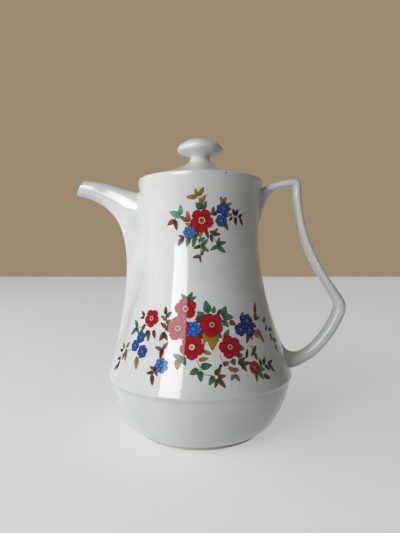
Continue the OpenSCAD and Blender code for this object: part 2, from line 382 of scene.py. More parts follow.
class Tree:
    """The nodes of one material or of the world."""

    def __init__(self, owner: bpy.types.Material | bpy.types.World) -> None:
        """Takes up a material's or a world's own nodes.

        Args:
            owner: The material or the world.
        """
        self.owner = owner
        owner.use_nodes = True
        self.nodes = owner.node_tree.nodes
        self.links = owner.node_tree.links
        self.shader = self.nodes.get("Principled BSDF")

    @classmethod
    def of_material(cls, name: str) -> "Tree":
        """Starts a material with a Principled shader."""
        return cls(bpy.data.materials.new(name))

    def add(
        self,
        kind: str,
        settings: dict[str, object] | None = None,
        sockets: dict[int | str, object] | None = None,
    ) -> bpy.types.Node:
        """Adds a node.

        Args:
            kind: The node's type.
            settings: Its own settings, such as an operation.
            sockets: The value or the link of each input, by name or number.

        Returns:
            The node.
        """
        node = self.nodes.new(kind)
        for key, value in (settings or {}).items():
            setattr(node, key, value)
        for key, value in (sockets or {}).items():
            self.feed(node.inputs[key], value)
        return node

    def value(
        self, kind: str, settings: dict[str, object], sockets: dict[int | str, object]
    ) -> Value:
        """Adds a node and takes its first output as a number."""
        return Value(self, self.add(kind, settings, sockets).outputs[0])

    def feed(self, socket: bpy.types.NodeSocket, value: object) -> None:
        """Gives an input a value or a link.

        Args:
            socket: The input.
            value: A number, a colour, a Value or another node's output.
        """
        if isinstance(value, Value):
            self.links.new(value.socket, socket)
        elif isinstance(value, bpy.types.NodeSocket):
            self.links.new(value, socket)
        elif socket.type == "RGBA" and len(value) == 3:
            socket.default_value = (*value, 1.0)
        else:
            socket.default_value = value

    def place(self) -> bpy.types.NodeSocket:
        """Where a point is on the object, in metres."""
        return self.add("ShaderNodeTexCoord").outputs["Object"]

    def height(self) -> Value:
        """How high a point is above the table, in metres."""
        return Value(self, self.add("ShaderNodeSeparateXYZ", None, {0: self.place()}).outputs["Z"])

    def noise(self, size: float, detail: float, rough: float) -> Value:
        """Smooth noise from 0 to 1.

        Args:
            size: The width of one patch, in millimetres.
            detail: How many finer layers it has.
            rough: How strong they are.

        Returns:
            The noise.
        """
        sockets = {"Scale": 1 / (size * MM), "Detail": detail, "Roughness": rough}
        return self.value("ShaderNodeTexNoise", {}, {"Vector": self.place(), **sockets})

    def looked_at(self) -> Value:
        """1 where the camera looks, straight, in a reflection or through glass, else 0.

        Returns:
            The share, which is 1 or 0.
        """
        path = self.add("ShaderNodeLightPath").outputs
        straight = Value(self, path["Is Camera Ray"])
        seen = straight.math("MAXIMUM", straight, path["Is Glossy Ray"])
        return seen.math("MAXIMUM", seen, path["Is Transmission Ray"])

    def blend(self, a: object, b: object, share: Value | float) -> bpy.types.NodeSocket:
        """Mixes two colours.

        Args:
            a: The colour where share is 0.
            b: The colour where share is 1.
            share: How much of b there is.

        Returns:
            The mixed colour.
        """
        node = self.add("ShaderNodeMix", {"data_type": "RGBA"}, {0: share, 6: a, 7: b})
        return node.outputs[2]

    def bump(self, height: Value, distance: float, strength: float) -> None:
        """Feeds the shader's normal from a height.

        Args:
            height: The height, from 0 to 1.
            distance: What a height of 1 stands for, in millimetres.
            strength: How much of it shows.
        """
        sockets = {"Height": height, "Distance": distance * MM, "Strength": strength}
        normal = self.add("ShaderNodeBump", None, sockets).outputs[0]
        self.feed(self.shader.inputs["Normal"], normal)

    def settle(self, values: dict[str, object]) -> bpy.types.Material:
        """Sets the shader's own sockets.

        Args:
            values: The value or link of each socket.

        Returns:
            The finished material.
        """
        for key, value in values.items():
            self.feed(self.shader.inputs[key], value)
        return self.owner


@dataclass(frozen=True)
class PorcelainGlaze:
    """Clear gloss glaze over white porcelain, a little cloudy, cooler where it pools and darker
    with painted shade in the ridge groove and near the foot.
    """

    white: Colour = paint(232, 233, 229)
    cool_white: Colour = paint(222, 226, 225)
    # a darker, cooler white: partly the tint of pooled glaze, partly painted shade in the ridge
    # groove and near the foot
    pooled_shade: Colour = paint(205, 210, 209)
    cloud: float = 28.0
    roughness: float = 0.34
    coat_roughness: float = 0.035
    ripple: float = 17.0
    ripple_depth: float = 0.08
    ripple_shows: float = 0.55
    pooled_shade_share: float = 0.35

    def build(self, ridge_z: float) -> bpy.types.Material:
        """Makes the glaze.

        Args:
            ridge_z: Height of the ridge; the glaze pools, and shade is painted, in the groove under
                it.

        Returns:
            The material.
        """
        tree = Tree.of_material("porcelain_glaze")
        clouds = tree.noise(self.cloud, 3.0, 0.55)
        colour = tree.blend(self.white, self.cool_white, clouds.ramp(0.38, 0.66))
        z = tree.height()
        # painted shade, partly pooled glaze tint: the groove under the ridge and the band just
        # above the foot are mixed towards a darker, cooler white
        deep = (ridge_z - 2.2) * MM
        groove = z.ramp((ridge_z - 6) * MM, deep) * (1 - z.ramp(deep, (ridge_z - 0.6) * MM))
        foot = 1 - z.ramp(2.2 * MM, 7 * MM)
        colour = tree.blend(colour, self.pooled_shade, (groove + foot) * self.pooled_shade_share)
        waves = tree.noise(self.ripple, 1.0, 0.4) + tree.noise(1.1, 2.0, 0.5) * 0.012
        tree.bump(waves, self.ripple_depth, self.ripple_shows)
        return tree.settle(
            {
                "Base Color": colour,
                "Roughness": self.roughness + (clouds - 0.5) * 0.06,
                "Coat Weight": 1.0,
                "Coat Roughness": self.coat_roughness,
                "Coat IOR": 1.5,
                "Specular IOR Level": 0.1,
            }
        )


@dataclass(frozen=True)
class FiredBiscuit:
    """Bare ground porcelain of the foot's standing edge."""

    pale: Colour = paint(226, 223, 217)
    dark: Colour = paint(204, 200, 191)
    soil: Colour = paint(156, 148, 136)
    grain: float = 0.45
    roughness: float = 0.72

    def build(self) -> bpy.types.Material:
        """Makes the biscuit.

        Returns:
            The material.
        """
        tree = Tree.of_material("fired_biscuit")
        grain = tree.noise(self.grain, 3.0, 0.6)
        patches = tree.noise(9.0, 2.0, 0.6)
        colour = tree.blend(self.pale, self.dark, grain.ramp(0.35, 0.75))
        worn = 1 - tree.height().ramp(0.0, 0.6 * MM)
        colour = tree.blend(colour, self.soil, worn * patches.ramp(0.4, 0.8) * 0.6)
        tree.bump(grain, 0.06, 0.8)
        rough = self.roughness + (grain - 0.5) * 0.2
        return tree.settle({"Base Color": colour, "Roughness": rough})


PIGMENT = "pigment"


@dataclass(frozen=True)
class TransferEnamel:
    """Printed enamel, fired on and as glossy as the glaze round it."""

    shade: Colour = (0.5, 0.44, 0.42)
    mottling: float = 1.6
    ripple: float = 17.0
    ripple_depth: float = 0.11
    ripple_shows: float = 0.55
    roughness: float = 0.5
    coat_roughness: float = 0.06

    def build(self) -> bpy.types.Material:
        """Makes the enamel, which takes its colour from each transfer's own pigment.

        Returns:
            The material.
        """
        tree = Tree.of_material("transfer_enamel")
        pigment = tree.add("ShaderNodeAttribute", {"attribute_name": PIGMENT}).outputs["Color"]
        mottle = tree.noise(self.mottling, 3.0, 0.65)
        shading = {0: pigment, 1: self.shade}
        darker = tree.add("ShaderNodeVectorMath", {"operation": "MULTIPLY"}, shading).outputs[0]
        colour = tree.blend(pigment, darker, mottle.ramp(0.5, 0.85) * 0.5)
        waves = tree.noise(self.ripple, 1.0, 0.4) + mottle * 0.01
        tree.bump(waves, self.ripple_depth, self.ripple_shows)
        return tree.settle(
            {
                "Base Color": colour,
                "Roughness": self.roughness + (mottle - 0.5) * 0.1,
                "Coat Weight": 0.75,
                "Coat Roughness": self.coat_roughness,
                "Coat IOR": 1.5,
                "Specular IOR Level": 0.03,
            }
        )


@dataclass(frozen=True)
class PalePaper:
    """Plain pale paper for the floor, which looks a little paler than it lights."""

    pale: Colour = paint(240, 240, 238)
    seen: Colour = paint(234, 234, 234)
    seen_share: float = 0.55
    grain: float = 3.0

    def build(self) -> bpy.types.Material:
        """Makes the paper.

        Returns:
            The material.
        """
        tree = Tree.of_material("pale_paper")
        duller = tuple(0.97 * c for c in self.pale)
        colour = tree.blend(self.pale, duller, tree.noise(self.grain, 4.0, 0.6))
        paper = tree.settle({"Base Color": colour, "Roughness": 0.85})
        glow = tree.add("ShaderNodeEmission", None, {"Color": self.seen}).outputs[0]
        shares = {0: tree.looked_at() * self.seen_share, 1: tree.shader.outputs[0], 2: glow}
        shown = tree.add("ShaderNodeMixShader", None, shares).outputs[0]
        tree.links.new(shown, tree.nodes["Material Output"].inputs["Surface"])
        return paper


# ---- pot body ----


@dataclass
class PotBody:
    """The pot's wall, rim, lid seat and floor. Lengths in millimetres."""

    rim_z: float
    ridge_r: float
    foot_h: float
    rim_r: float = 47.3
    rim_t: float = 3.6
    rim_band: float = 1.6
    neck_in: float = 2.5
    neck_z: float = 150.0
    ridge_z: float = 42.0
    ridge_nose: float = 2.0
    ridge_groove: float = 0.9
    shoulder_lean: float = 21.0
    wall: float = 3.8
    foot_r: float = 48.4
    seat_drop: float = 4.6
    seat_lip: float = 1.0
    seat_t: float = 3.6
    seat_taper: float = 7.0
    port_w: float = 16.0
    port_low: float = 114.0
    port_high: float = 160.0
    port_end: float = 20.0
    side: Array = field(init=False)

    def __post_init__(self) -> None:
        """Works out the outer wall once."""
        self.neck_r = self.rim_r - self.neck_in
        self.seat_r = self.neck_r - self.wall - self.seat_lip
        self.gallery_r = self.rim_r - self.rim_t
        self.seat_z = self.rim_z - self.seat_drop
        self.rim_low = self.rim_z - self.rim_t / 2
        self.side = self._side()

    def _side(self) -> Array:
        """The outer wall from the foot to the rim, as (radius, height).

        Returns:
            The wall's points.
        """
        lean = math.radians(self.shoulder_lean)
        low = self.ridge_z + self.ridge_nose * math.sin(lean)
        low_r = self.ridge_r - self.ridge_nose * (1 - math.cos(lean))
        pull = 0.45 * (self.neck_z - low)
        bowl = cubic(
            [
                (self.foot_r, self.foot_h),
                (self.foot_r + 10.6, self.foot_h + 1.8),
                (self.ridge_r - 3.1, mix(self.foot_h, self.ridge_z, 0.6)),
                (self.ridge_r - self.ridge_groove, self.ridge_z - 1.3 * self.ridge_nose),
            ],
            np.linspace(0, 1, 41),
        )
        middle = (self.ridge_r - self.ridge_nose, self.ridge_z)
        nose = arc(middle, self.ridge_nose, -40, self.shoulder_lean, 12)
        shoulder = cubic(
            [
                (low_r, low),
                (low_r - pull * math.tan(lean), low + pull),
                (self.neck_r, self.neck_z - 0.33 * (self.neck_z - low)),
                (self.neck_r, self.neck_z),
            ],
            np.linspace(0, 1, 64),
        )
        neck = cubic(
            [
                (self.neck_r, self.neck_z),
                (self.neck_r, mix(self.neck_z, self.rim_low, 0.35)),
                (self.rim_r - 1.8, mix(self.neck_z, self.rim_low, 0.75)),
                (self.rim_r, self.rim_low - self.rim_band),
            ],
            np.linspace(0, 1, 24),
        )
        band = np.array([(self.rim_r, self.rim_low - self.rim_band), (self.rim_r, self.rim_low)])
        return joined(bowl, nose, shoulder, neck, band)

    def radius(self, z: Array) -> Array:
        """Outer radius at a height."""
        return np.interp(z, self.side[:, 1], self.side[:, 0])

    def slope(self, z: Array) -> Array:
        """How the radius changes with the height."""
        return (self.radius(np.asarray(z) + 1) - self.radius(np.asarray(z) - 1)) / 2

    def normals(self, points: Array) -> Array:
        """Outward directions of the wall at points on it.

        Args:
            points: The points.

        Returns:
            One direction of length 1 for each.
        """
        r = np.hypot(points[..., 0], points[..., 1])
        slope = self.slope(points[..., 2])
        return unit(np.stack([points[..., 0] / r, points[..., 1] / r, -slope], -1))

    def onto(self, points: Array, lift: float = 0.0) -> Array:
        """Points moved onto the wall at their own height.

        Args:
            points: The points.
            lift: How far they stand out from it.

        Returns:
            The moved points.
        """
        r = np.hypot(points[..., 0], points[..., 1])
        share = self.radius(points[..., 2]) / r
        on = np.stack([points[..., 0] * share, points[..., 1] * share, points[..., 2]], -1)
        return on + lift * self.normals(on)

    def beyond(self, points: Array) -> Array:
        """How far points lie outside the wall, level with each."""
        return np.hypot(points[..., 0], points[..., 1]) - self.radius(points[..., 2])

    def _inside(self) -> Array:
        """The inner wall from under the lid seat down to the floor.

        Returns:
            The points, as (radius, height).
        """
        d = unit(np.gradient(self.side, axis=0))
        inner = self.side + self.wall * np.stack([-d[:, 1], d[:, 0]], 1)
        low, high = self.ridge_z - 9, self.ridge_z + 6
        z = inner[:, 1]
        top = self.seat_z - self.seat_t - self.seat_taper
        keep = (z > self.foot_h + self.wall + 0.1) & (z < top) & ((z < low) | (z > high))
        path = evened(inner[keep], 2.0)
        for _ in range(3):
            path[1:-1] = (path[:-2] + path[1:-1] + path[2:]) / 3
        return path[::-1]

    def outline(self) -> Array:
        """The whole closed outline from the middle of the underside to the floor's middle.

        Returns:
            The points, as (radius, height).
        """
        edge = arc((self.rim_r - self.rim_t / 2, self.rim_low), self.rim_t / 2, 0, 180, 20)
        inside = self._inside()
        seat = rounded(
            [
                (self.gallery_r, self.rim_low, 0),
                (self.gallery_r, self.seat_z, 0.9),
                (self.seat_r, self.seat_z, 1.0),
                (self.seat_r, self.seat_z - self.seat_t, 1.2),
                (inside[0][0], inside[0][1], 0),
            ]
        )
        floor_z = self.foot_h + self.wall
        under = np.array([(0, self.foot_h), (20, self.foot_h), (self.foot_r - 2.5, self.foot_h)])
        floor = np.array([(self.foot_r - 4, floor_z), (30, floor_z), (12, floor_z), (0, floor_z)])
        return joined(under, self.side, edge, seat, inside, floor)

    def _port_cutter(self) -> bpy.types.Object:
        """A round-ended block that cuts the port behind the spout.

        Returns:
            The cutter.
        """
        round_r = self.port_w / 2
        upper = arc((0, self.port_high - round_r), round_r, 0, 180, 20)
        lower = arc((0, self.port_low + round_r), round_r, 180, 360, 20)
        ring = np.concatenate([upper, lower])
        depths = (-self.ridge_r, -self.port_end)
        rows = [np.stack([np.full(len(ring), x), ring[:, 0], ring[:, 1]], 1) for x in depths]
        return skinned("port_cutter", capped(rows))

    def build(self, glaze: bpy.types.Material) -> None:
        """Makes the body's shell with its port.

        Args:
            glaze: Its finish.
        """
        shell = revolved("pot_shell", self.outline())
        pierce(shell, self._port_cutter())
        finish_piece(shell, glaze, "pot", ["pot_body"])


# ---- lines that grow out of the body ----


Line = Callable[[Array], Array]


def welded(
    body: PotBody,
    line: Line,
    start: Array,
    spread: Array,
    climb: Array,
    centre: Array,
    stop: float,
    counts: tuple[int, int],
) -> list[Array]:
    """Rings that run from the body's wall up a row of lines, with a smooth hollow between.

    Args:
        body: The body that the lines grow from.
        line: Gives each line's point at its own parameter.
        start: The parameter at which each line leaves the wall.
        spread: How far along the wall the hollow reaches, for each line.
        climb: How far up the line it reaches.
        centre: A point in the middle of the root.
        stop: The parameter of the last ring.
        counts: The number of rings in the hollow and above it.

    Returns:
        The rings, from the one in the wall.
    """
    root = line(start)
    around = unit(np.roll(root, -1, axis=0) - np.roll(root, 1, axis=0))
    out = np.cross(around, body.normals(root))
    sign = np.where((out * (root - centre)).sum(1) > 0, 1.0, -1.0)[:, None]
    foot = body.onto(root + spread[:, None] * sign * out, -0.05)
    onward = np.sign(stop - start)
    pace = np.linalg.norm(line(start + 1e-3 * onward) - root, axis=1) / 1e-3
    top = start + onward * climb / pace
    crest = line(top)
    rings = [foot]
    for t in np.linspace(0, 1, counts[0] + 1)[1:-1]:
        rings.append(swept(foot, root, crest, t))
    for t in np.linspace(0, 1, counts[1] + 1):
        rings.append(line(top + (stop - top) * t))
    return rings


@dataclass(frozen=True)
class SpoutSkin:
    """One skin of the spout: where its lines start, how they leave and how they arrive.

    Pairs run from its lowest line to its highest; threes also give its widest line.
    """

    root: Pair
    half_width: float
    narrowing: float
    lean: tuple[float, float, float]
    pull: tuple[float, float, float]
    turned: float
    inset: float
    run: Pair
    fall: Pair


@dataclass
class Spout:
    """The curved spout. Lengths in millimetres."""

    body: PotBody
    mouth_reach: float = 91.4
    mouth_z: float = 181.6
    mouth_h: float = 13.2
    mouth_w: float = 12.4
    mouth_tilt: float = 30.0
    root_low: float = 2.5
    root_drop: float = 9.5
    root_w: float = 46.0
    mouth_wall: float = 2.1
    lip: float = 0.55
    sunk: tuple[float, float] = (0.6, 0.8)
    lines: int = 112

    def __post_init__(self) -> None:
        """Works out the outside and the passage."""
        body = self.body
        self.turn = turns(self.lines)
        low, high = body.ridge_z + self.root_low, body.rim_z - self.root_drop
        run = self.mouth_reach - body.rim_r / 2.15
        tall = high - low
        self.outside = SpoutSkin(
            root=(low, high),
            half_width=0.56 * self.root_w,
            narrowing=0.55,
            lean=(-14.5, 36, 73),
            pull=(0.31 * tall, 0.2 * tall, 0.113 * tall),
            turned=0.7,
            inset=0,
            run=(0.88 * run, 0.21 * run),
            fall=(9.5, 0),
        )
        low, high = body.port_low - 9, high - 4.5
        tall = high - low
        self.passage = SpoutSkin(
            root=(low, high),
            half_width=body.port_w / 2 + 2.5,
            narrowing=0,
            lean=(60, 44, 70),
            pull=(0.166 * tall, 0.25 * tall, 0.19 * tall),
            turned=0,
            inset=self.mouth_wall,
            run=(0.78 * run, 0.23 * run),
            fall=(9, 4),
        )

    def controls(self, skin: SpoutSkin) -> list[Array]:
        """The four control points of each line of a skin.

        Args:
            skin: The skin.

        Returns:
            Four arrays, each with a point for each line.
        """
        u, body = self.turn, self.body
        q = (1 + np.sin(u)) / 2
        z = skin.root[0] + (skin.root[1] - skin.root[0]) * q
        y = skin.half_width * np.cos(u) * (q + 0.001) ** skin.narrowing
        a = np.stack([-np.sqrt(body.radius(z) ** 2 - y * y), y, z], 1)
        lean, pull = np.radians(mix3(skin.lean, np.sin(u))), mix3(skin.pull, np.sin(u))
        v = np.stack([-pull * np.sin(lean), -0.36 * y, pull * np.cos(lean)], 1)
        n = body.normals(a)
        v -= (skin.turned * np.cos(u) ** 2 * (v * n).sum(1))[:, None] * n
        tilt = math.radians(self.mouth_tilt)
        h, w = self.mouth_h / 2 - skin.inset, self.mouth_w / 2 - skin.inset
        d = np.stack(
            [
                -self.mouth_reach + h * math.sin(tilt) * np.sin(u),
                w * np.cos(u),
                self.mouth_z + h * math.cos(tilt) * np.sin(u),
            ],
            1,
        )
        run = skin.run[0] + (skin.run[1] - skin.run[0]) * q
        fall = np.radians(skin.fall[0] + (skin.fall[1] - skin.fall[0]) * q)
        e = np.stack([run * np.cos(fall), 0.25 * d[:, 1], -run * np.sin(fall)], 1)
        return [a, a + v, d + e, d]

    def build(self, glaze: bpy.types.Material) -> None:
        """Makes the spout.

        Args:
            glaze: Its finish.
        """
        outer, inner = self.controls(self.outside), self.controls(self.passage)
        s = np.sin(self.turn)
        lip = self.lip
        centre = np.array([-self.body.neck_r, 0, mix(*self.outside.root, 0.55)])
        rings = welded(
            self.body,
            lambda t: cubic(outer, t),
            np.zeros(self.lines),
            mix3((5.0, 7.0, 3.2), s),
            mix3((7.0, 8.0, 4.0), s),
            centre,
            1.0,
            (10, 64),
        )
        rings = [r for r in rings[:-1] if np.linalg.norm(r - outer[3], axis=1).min() > 2 * lip]
        across = lip * unit(inner[3] - outer[3])
        for lines, step in ((outer, across), (inner, -across)):
            near = cubic(lines, np.full(self.lines, 0.999))
            pace = np.linalg.norm(near - lines[3], axis=1) / 0.001
            back, on = cubic(lines, 1 - lip / pace), lines[3] + step
            bend = [swept(back, lines[3], on, t) for t in np.linspace(0, 1, 6)]
            rings += bend if lines is outer else bend[::-1]
        for t in np.linspace(1, 0, 41)[1:]:
            row = cubic(inner, np.full(self.lines, t))
            if np.linalg.norm(row - inner[3], axis=1).min() > 2 * lip:
                rings.append(row)
        rings.append(inner[0] - self.sunk[0] * self.body.normals(inner[0]))
        rings.append(self.body.onto((rings[0] + rings[-1]) / 2, -self.sunk[1]))
        spout = skinned("spout_shell", rings[::-1], True, 50)
        finish_piece(spout, glaze, "pot", ["spout"])


# ---- handle ----


Curve = tuple[Pair, Pair, Pair, Pair]


@dataclass
class Handle:
    """The angular loop handle, drawn by its outer and its inner edge. Lengths in millimetres."""

    body: PotBody
    outer: tuple[Curve, ...] = (
        ((45.0, 179.8), (49.5, 184.2), (60.0, 187.4), (77.3, 189.4)),
        ((77.3, 189.4), (75.5, 141.0), (97.4, 116.0), (114.2, 92.0)),
        ((114.2, 92.0), (101.2, 52.2), (73.0, 41.6), (68.0, 42.4)),
    )
    inner: tuple[Curve, ...] = (
        ((44.0, 147.0), (50.6, 181.0), (56.0, 180.6), (71.0, 181.8)),
        ((71.0, 181.8), (73.6, 131.0), (96.6, 110.0), (104.6, 91.5)),
        ((104.6, 91.5), (104.2, 81.0), (71.8, 28.0), (59.6, 72.0)),
    )
    outer_bends: Pair = (6.5, 8.0)
    inner_bends: Pair = (2.2, 3.0)
    widths: tuple[float, ...] = (10.0, 13.0, 13.0, 10.4)
    squareness: float = 0.72
    spread: float = 2.2
    climb: float = 2.4
    sunk: float = 2.0
    sides: int = 64
    steps: int = 80

    def _edge(self, curves: Sequence[Curve], bends: Pair) -> Array:
        """Points along one edge, with its corners rounded.

        Args:
            curves: The edge's three curves, which meet in corners.
            bends: How far from each corner the rounding starts.

        Returns:
            As many points for each curve, whatever their lengths.
        """
        t = np.linspace(0, 1, 401)
        lines = [cubic(curve, t) for curve in curves]
        cuts = []
        for k, reach in enumerate(bends):
            pairs = ((lines[k], lines[k][-1]), (lines[k + 1], lines[k + 1][0]))
            away = [np.linalg.norm(line - corner, axis=1) for line, corner in pairs]
            cuts.append([int(np.argmin(np.abs(d - reach))) for d in away])
        path = []
        for k, line in enumerate(lines):
            first = cuts[k - 1][1] if k else 0
            last = cuts[k][0] if k < 2 else len(line) - 1
            at = np.linspace(first, last, self.steps + 1)
            whole = np.arange(len(line))
            path.append(np.stack([np.interp(at, whole, line[:, i]) for i in (0, 1)], 1))
            if k < 2:
                s = np.linspace(0, 1, 15)[1:-1, None]
                start, end = lines[k][last], lines[k + 1][cuts[k][1]]
                path.append(swept(start, line[-1], end, s))
        return np.concatenate(path)

    def _strand(self) -> Callable[[Array], Array]:
        """The lines that run along the handle, each at its own share of the way.

        Returns:
            A function from the lines' shares to their points.
        """
        outer = self._edge(self.outer, self.outer_bends)
        inner = self._edge(self.inner, self.inner_bends)
        share = np.linspace(0, 1, len(outer))
        half = np.interp(share, (0, 0.24, 0.74, 1), self.widths) / 2
        a = turns(self.sides)
        c, s = (np.sign(v) * np.abs(v) ** self.squareness for v in (np.cos(a), np.sin(a)))

        def at(place: Array) -> Array:
            """Each line's point at its own share of the way.

            Args:
                place: One share, or one for each line.

            Returns:
                The points.
            """
            place = np.broadcast_to(place, a.shape)
            xz = []
            for k in (0, 1):
                out, back = (np.interp(place, share, edge[:, k]) for edge in (outer, inner))
                xz.append((out + back) / 2 + (out - back) / 2 * c)
            return np.stack([xz[0], np.interp(place, share, half) * s, xz[1]], 1)

        return at

    def _leaving(self, line: Line, inside: float, outside: float) -> Array:
        """Where each line comes out of the body's wall, as a share of the way.

        Args:
            line: Gives each line's point at its own share.
            inside: A share at which all lines are in the body.
            outside: A share at which all are out of it.

        Returns:
            One share for each line.
        """
        low, high = np.full(self.sides, inside), np.full(self.sides, outside)
        for _ in range(40):
            middle = (low + high) / 2
            out = self.body.beyond(line(middle)) > 0
            high, low = np.where(out, middle, high), np.where(out, low, middle)
        return (low + high) / 2

    def build(self, glaze: bpy.types.Material) -> None:
        """Makes the handle.

        Args:
            glaze: Its finish.
        """
        line = self._strand()
        even = np.ones(self.sides)
        rows = []
        for inside, outside in ((0.0, 0.2), (1.0, 0.8)):
            start = self._leaving(line, inside, outside)
            centre = line(start).mean(0)
            reach = self.spread * even, self.climb * even
            rows.append(welded(self.body, line, start, *reach, centre, 0.5, (7, 84)))
        rings = rows[0] + rows[1][-2::-1]
        ends = (rings[0], rings[-1])
        first, last = (end - self.sunk * self.body.normals(end) for end in ends)
        handle = skinned("handle_loop", capped([first, *rings, last]), sharp=60)
        finish_piece(handle, glaze, "pot", ["handle"])


# ---- foot and lid ----


def dipped(inner: float, outer: float, high: float, low: float, cut: float) -> Array:
    """Outline of a hanging ring with its two lower edges rounded.

    Args:
        inner: Its inner radius.
        outer: Its outer radius.
        high: The height of its flat top.
        low: The height of its lower edge.
        cut: The rounding.

    Returns:
        The outline, as (radius, height).
    """
    return rounded([(inner, high, 0), (inner, low, cut), (outer, low, cut), (outer, high, 0)], 8)


@dataclass
class FootRing:
    """The foot ring's unglazed standing edge. Lengths in millimetres."""

    radius: float = 48.4
    height: float = 2.4
    width: float = 4.4
    rounding: float = 0.8

    def build(self, biscuit: bpy.types.Material) -> None:
        """Makes the ring.

        Args:
            biscuit: Its finish.
        """
        path = dipped(self.radius - self.width, self.radius, self.height, 0, 1.6 * self.rounding)
        ring = revolved("foot_edge", path, wrap=True)
        finish_piece(ring, biscuit, "pot", ["foot_ring"])


HOLLOW_STEPS = 40


@dataclass
class Lid:
    """The lid: its cover, its locating flange and its knob. Lengths in millimetres."""

    body: PotBody
    gap: float = 0.6
    rest: float = 0.2
    edge_t: float = 3.2
    crown_rise: float = 13.5
    cover_t: float = 3.6
    flange_h: float = 14.0
    flange_t: float = 3.2
    flange_gap: float = 0.8
    vent_d: float = 3.0
    vent_r: float = 27.0
    knob_r: float = 17.5
    stem_r: float = 7.5
    knob_foot_r: float = 10.0
    stem_h: float = 4.1
    knob_h: float = 18.7

    def __post_init__(self) -> None:
        """Places the lid in its seat."""
        self.low = self.body.seat_z + self.rest
        self.cover_r = self.body.gallery_r - self.gap
        self.crown_z = self.body.rim_z + self.crown_rise
        self.flange_r = self.body.seat_r - self.flange_gap

    def _cover_path(self) -> Array:
        """Outline of the domed cover.

        Returns:
            The points, as (radius, height).
        """
        shoulder_z = self.low + self.edge_t
        run = self.cover_r - self.knob_foot_r
        hollow_r = self.flange_r - self.flange_t - 0.4
        ceiling = self.crown_z - self.cover_t
        hollow = cubic(
            [
                (0, ceiling),
                (0.35 * hollow_r, ceiling),
                (0.62 * hollow_r, mix(self.low, ceiling, 0.62)),
                (hollow_r, self.low),
            ],
            np.linspace(0, 1, HOLLOW_STEPS),
        )
        edge = rounded(
            [
                (hollow_r, self.low, 0),
                (self.cover_r, self.low, 0.8),
                (self.cover_r, shoulder_z - 0.5, 1.0),
                (self.cover_r - 0.9, shoulder_z, 0),
            ]
        )
        top = cubic(
            [
                (self.cover_r - 0.9, shoulder_z),
                (self.cover_r - 0.3 * run, mix(shoulder_z, self.crown_z, 0.31)),
                (self.cover_r - 0.75 * run, mix(shoulder_z, self.crown_z, 0.65)),
                (self.knob_foot_r, self.crown_z),
            ],
            np.linspace(0, 1, 48),
        )
        return joined(hollow, edge, top, np.array([(0, self.crown_z)]))

    def _vent_cutter(self) -> bpy.types.Object:
        """A pin that cuts the steam vent, flared where it eases the upper edge.

        Returns:
            The cutter.
        """
        outside = self._cover_path()[HOLLOW_STEPS:]
        surface = float(np.interp(-self.vent_r, -outside[:, 0], outside[:, 1]))
        a = turns(40)
        flare = ((0.0, -1.2), (0.16, -0.5), (0.5, 0.1), (1.6, 1.0))
        rows = []
        for out, z in ((0.0, self.low - 4), *((wider, surface + up) for wider, up in flare)):
            r = self.vent_d / 2 + out
            x, y = self.vent_r + r * np.cos(a), r * np.sin(a)
            rows.append(np.stack([x, y, np.full(len(a), z)], 1))
        return skinned("vent_cutter", capped(rows))

    def _knob_path(self) -> Array:
        """Outline of the mushroom knob.

        Returns:
            The points, as (radius, height).
        """
        r, stem = self.knob_r, self.stem_r
        stem_z, top = self.crown_z + self.stem_h, self.crown_z + self.knob_h
        cap = mix(stem_z, top, 0.24)
        bend = mix(cap, top, 0.68)
        t = np.linspace(0, 1, 25)
        foot, hollow = (self.knob_foot_r, self.crown_z), self.crown_z + 0.55 * self.stem_h
        waist, rim, shoulder = (stem, stem_z), (r - 2.2, cap), (r - 3.9, bend)
        parts = [
            [foot, (stem + 1, self.crown_z + 0.8), (stem, hollow), waist],
            [waist, (stem + 0.1, stem_z + 2.4), (mix(stem, r, 0.5), stem_z + 1.9), rim],
            [rim, (r + 0.6, mix(cap, top, 0.12)), (r + 1.4, mix(cap, top, 0.36)), shoulder],
            [shoulder, (0.58 * r, mix(cap, top, 0.9)), (0.32 * r, top), (0, top)],
        ]
        return joined(np.array([(0, self.crown_z)]), *[cubic(part, t) for part in parts])

    def build(self, glaze: bpy.types.Material) -> None:
        """Makes the cover, the flange and the knob.

        Args:
            glaze: Their finish.
        """
        cover = revolved("lid_dome", self._cover_path())
        pierce(cover, self._vent_cutter())
        inner, foot_z = self.flange_r - self.flange_t, self.low - self.flange_h
        path = dipped(inner, self.flange_r, self.low, foot_z, 1.2)
        flange = revolved("lid_collar", path, wrap=True)
        knob = revolved("knob_cap", self._knob_path())
        for piece, node in ((cover, "lid_cover"), (flange, "lid_flange"), (knob, "lid_knob")):
            finish_piece(piece, glaze, "lid", [node])


# ---- transfers ----


class Enamel(Enum):
    """The printed colours, each as its light and its dark shade."""

    RED = (194, 8, 36), (134, 0, 20)
    DEEP_RED = (150, 24, 38), (98, 8, 18)
    SKY = (62, 124, 206), (16, 60, 144)
    BLUE = (34, 84, 180), (6, 32, 100)
    BRIGHT = (34, 104, 228), (12, 56, 176)
    NAVY = (24, 54, 156), (4, 14, 76)
    GREEN = (62, 134, 96), (18, 74, 50)
    TEAL = (112, 182, 158), (50, 126, 104)
    SAGE = (108, 134, 106), (50, 76, 56)
    OLIVE = (118, 116, 48), (66, 64, 26)
    OCHRE = (188, 140, 48), (112, 76, 22)
    BROWN = (122, 82, 60), (60, 34, 26)
    ROSE = (164, 98, 82), (110, 54, 46)
    MAUVE = (138, 96, 116), (84, 50, 70)
    PLUM = (62, 34, 48), (26, 12, 22)
    CREAM = (238, 210, 176), (206, 158, 124)
    RUST = (172, 98, 40), (112, 56, 22)
    UMBER = (112, 40, 34), (80, 24, 22)
    INK = (36, 24, 26), (24, 16, 18)

    @property
    def light(self) -> Colour:
        """The light shade."""
        return paint(*self.value[0])

    @property
    def dark(self) -> Colour:
        """The dark shade."""
        return paint(*self.value[1])


@dataclass(frozen=True)
class Leaf:
    """A pointed leaf, from its base to its tip, as (bearing, height)."""

    enamel: Enamel
    base: Pair
    tip: Pair
    width: float


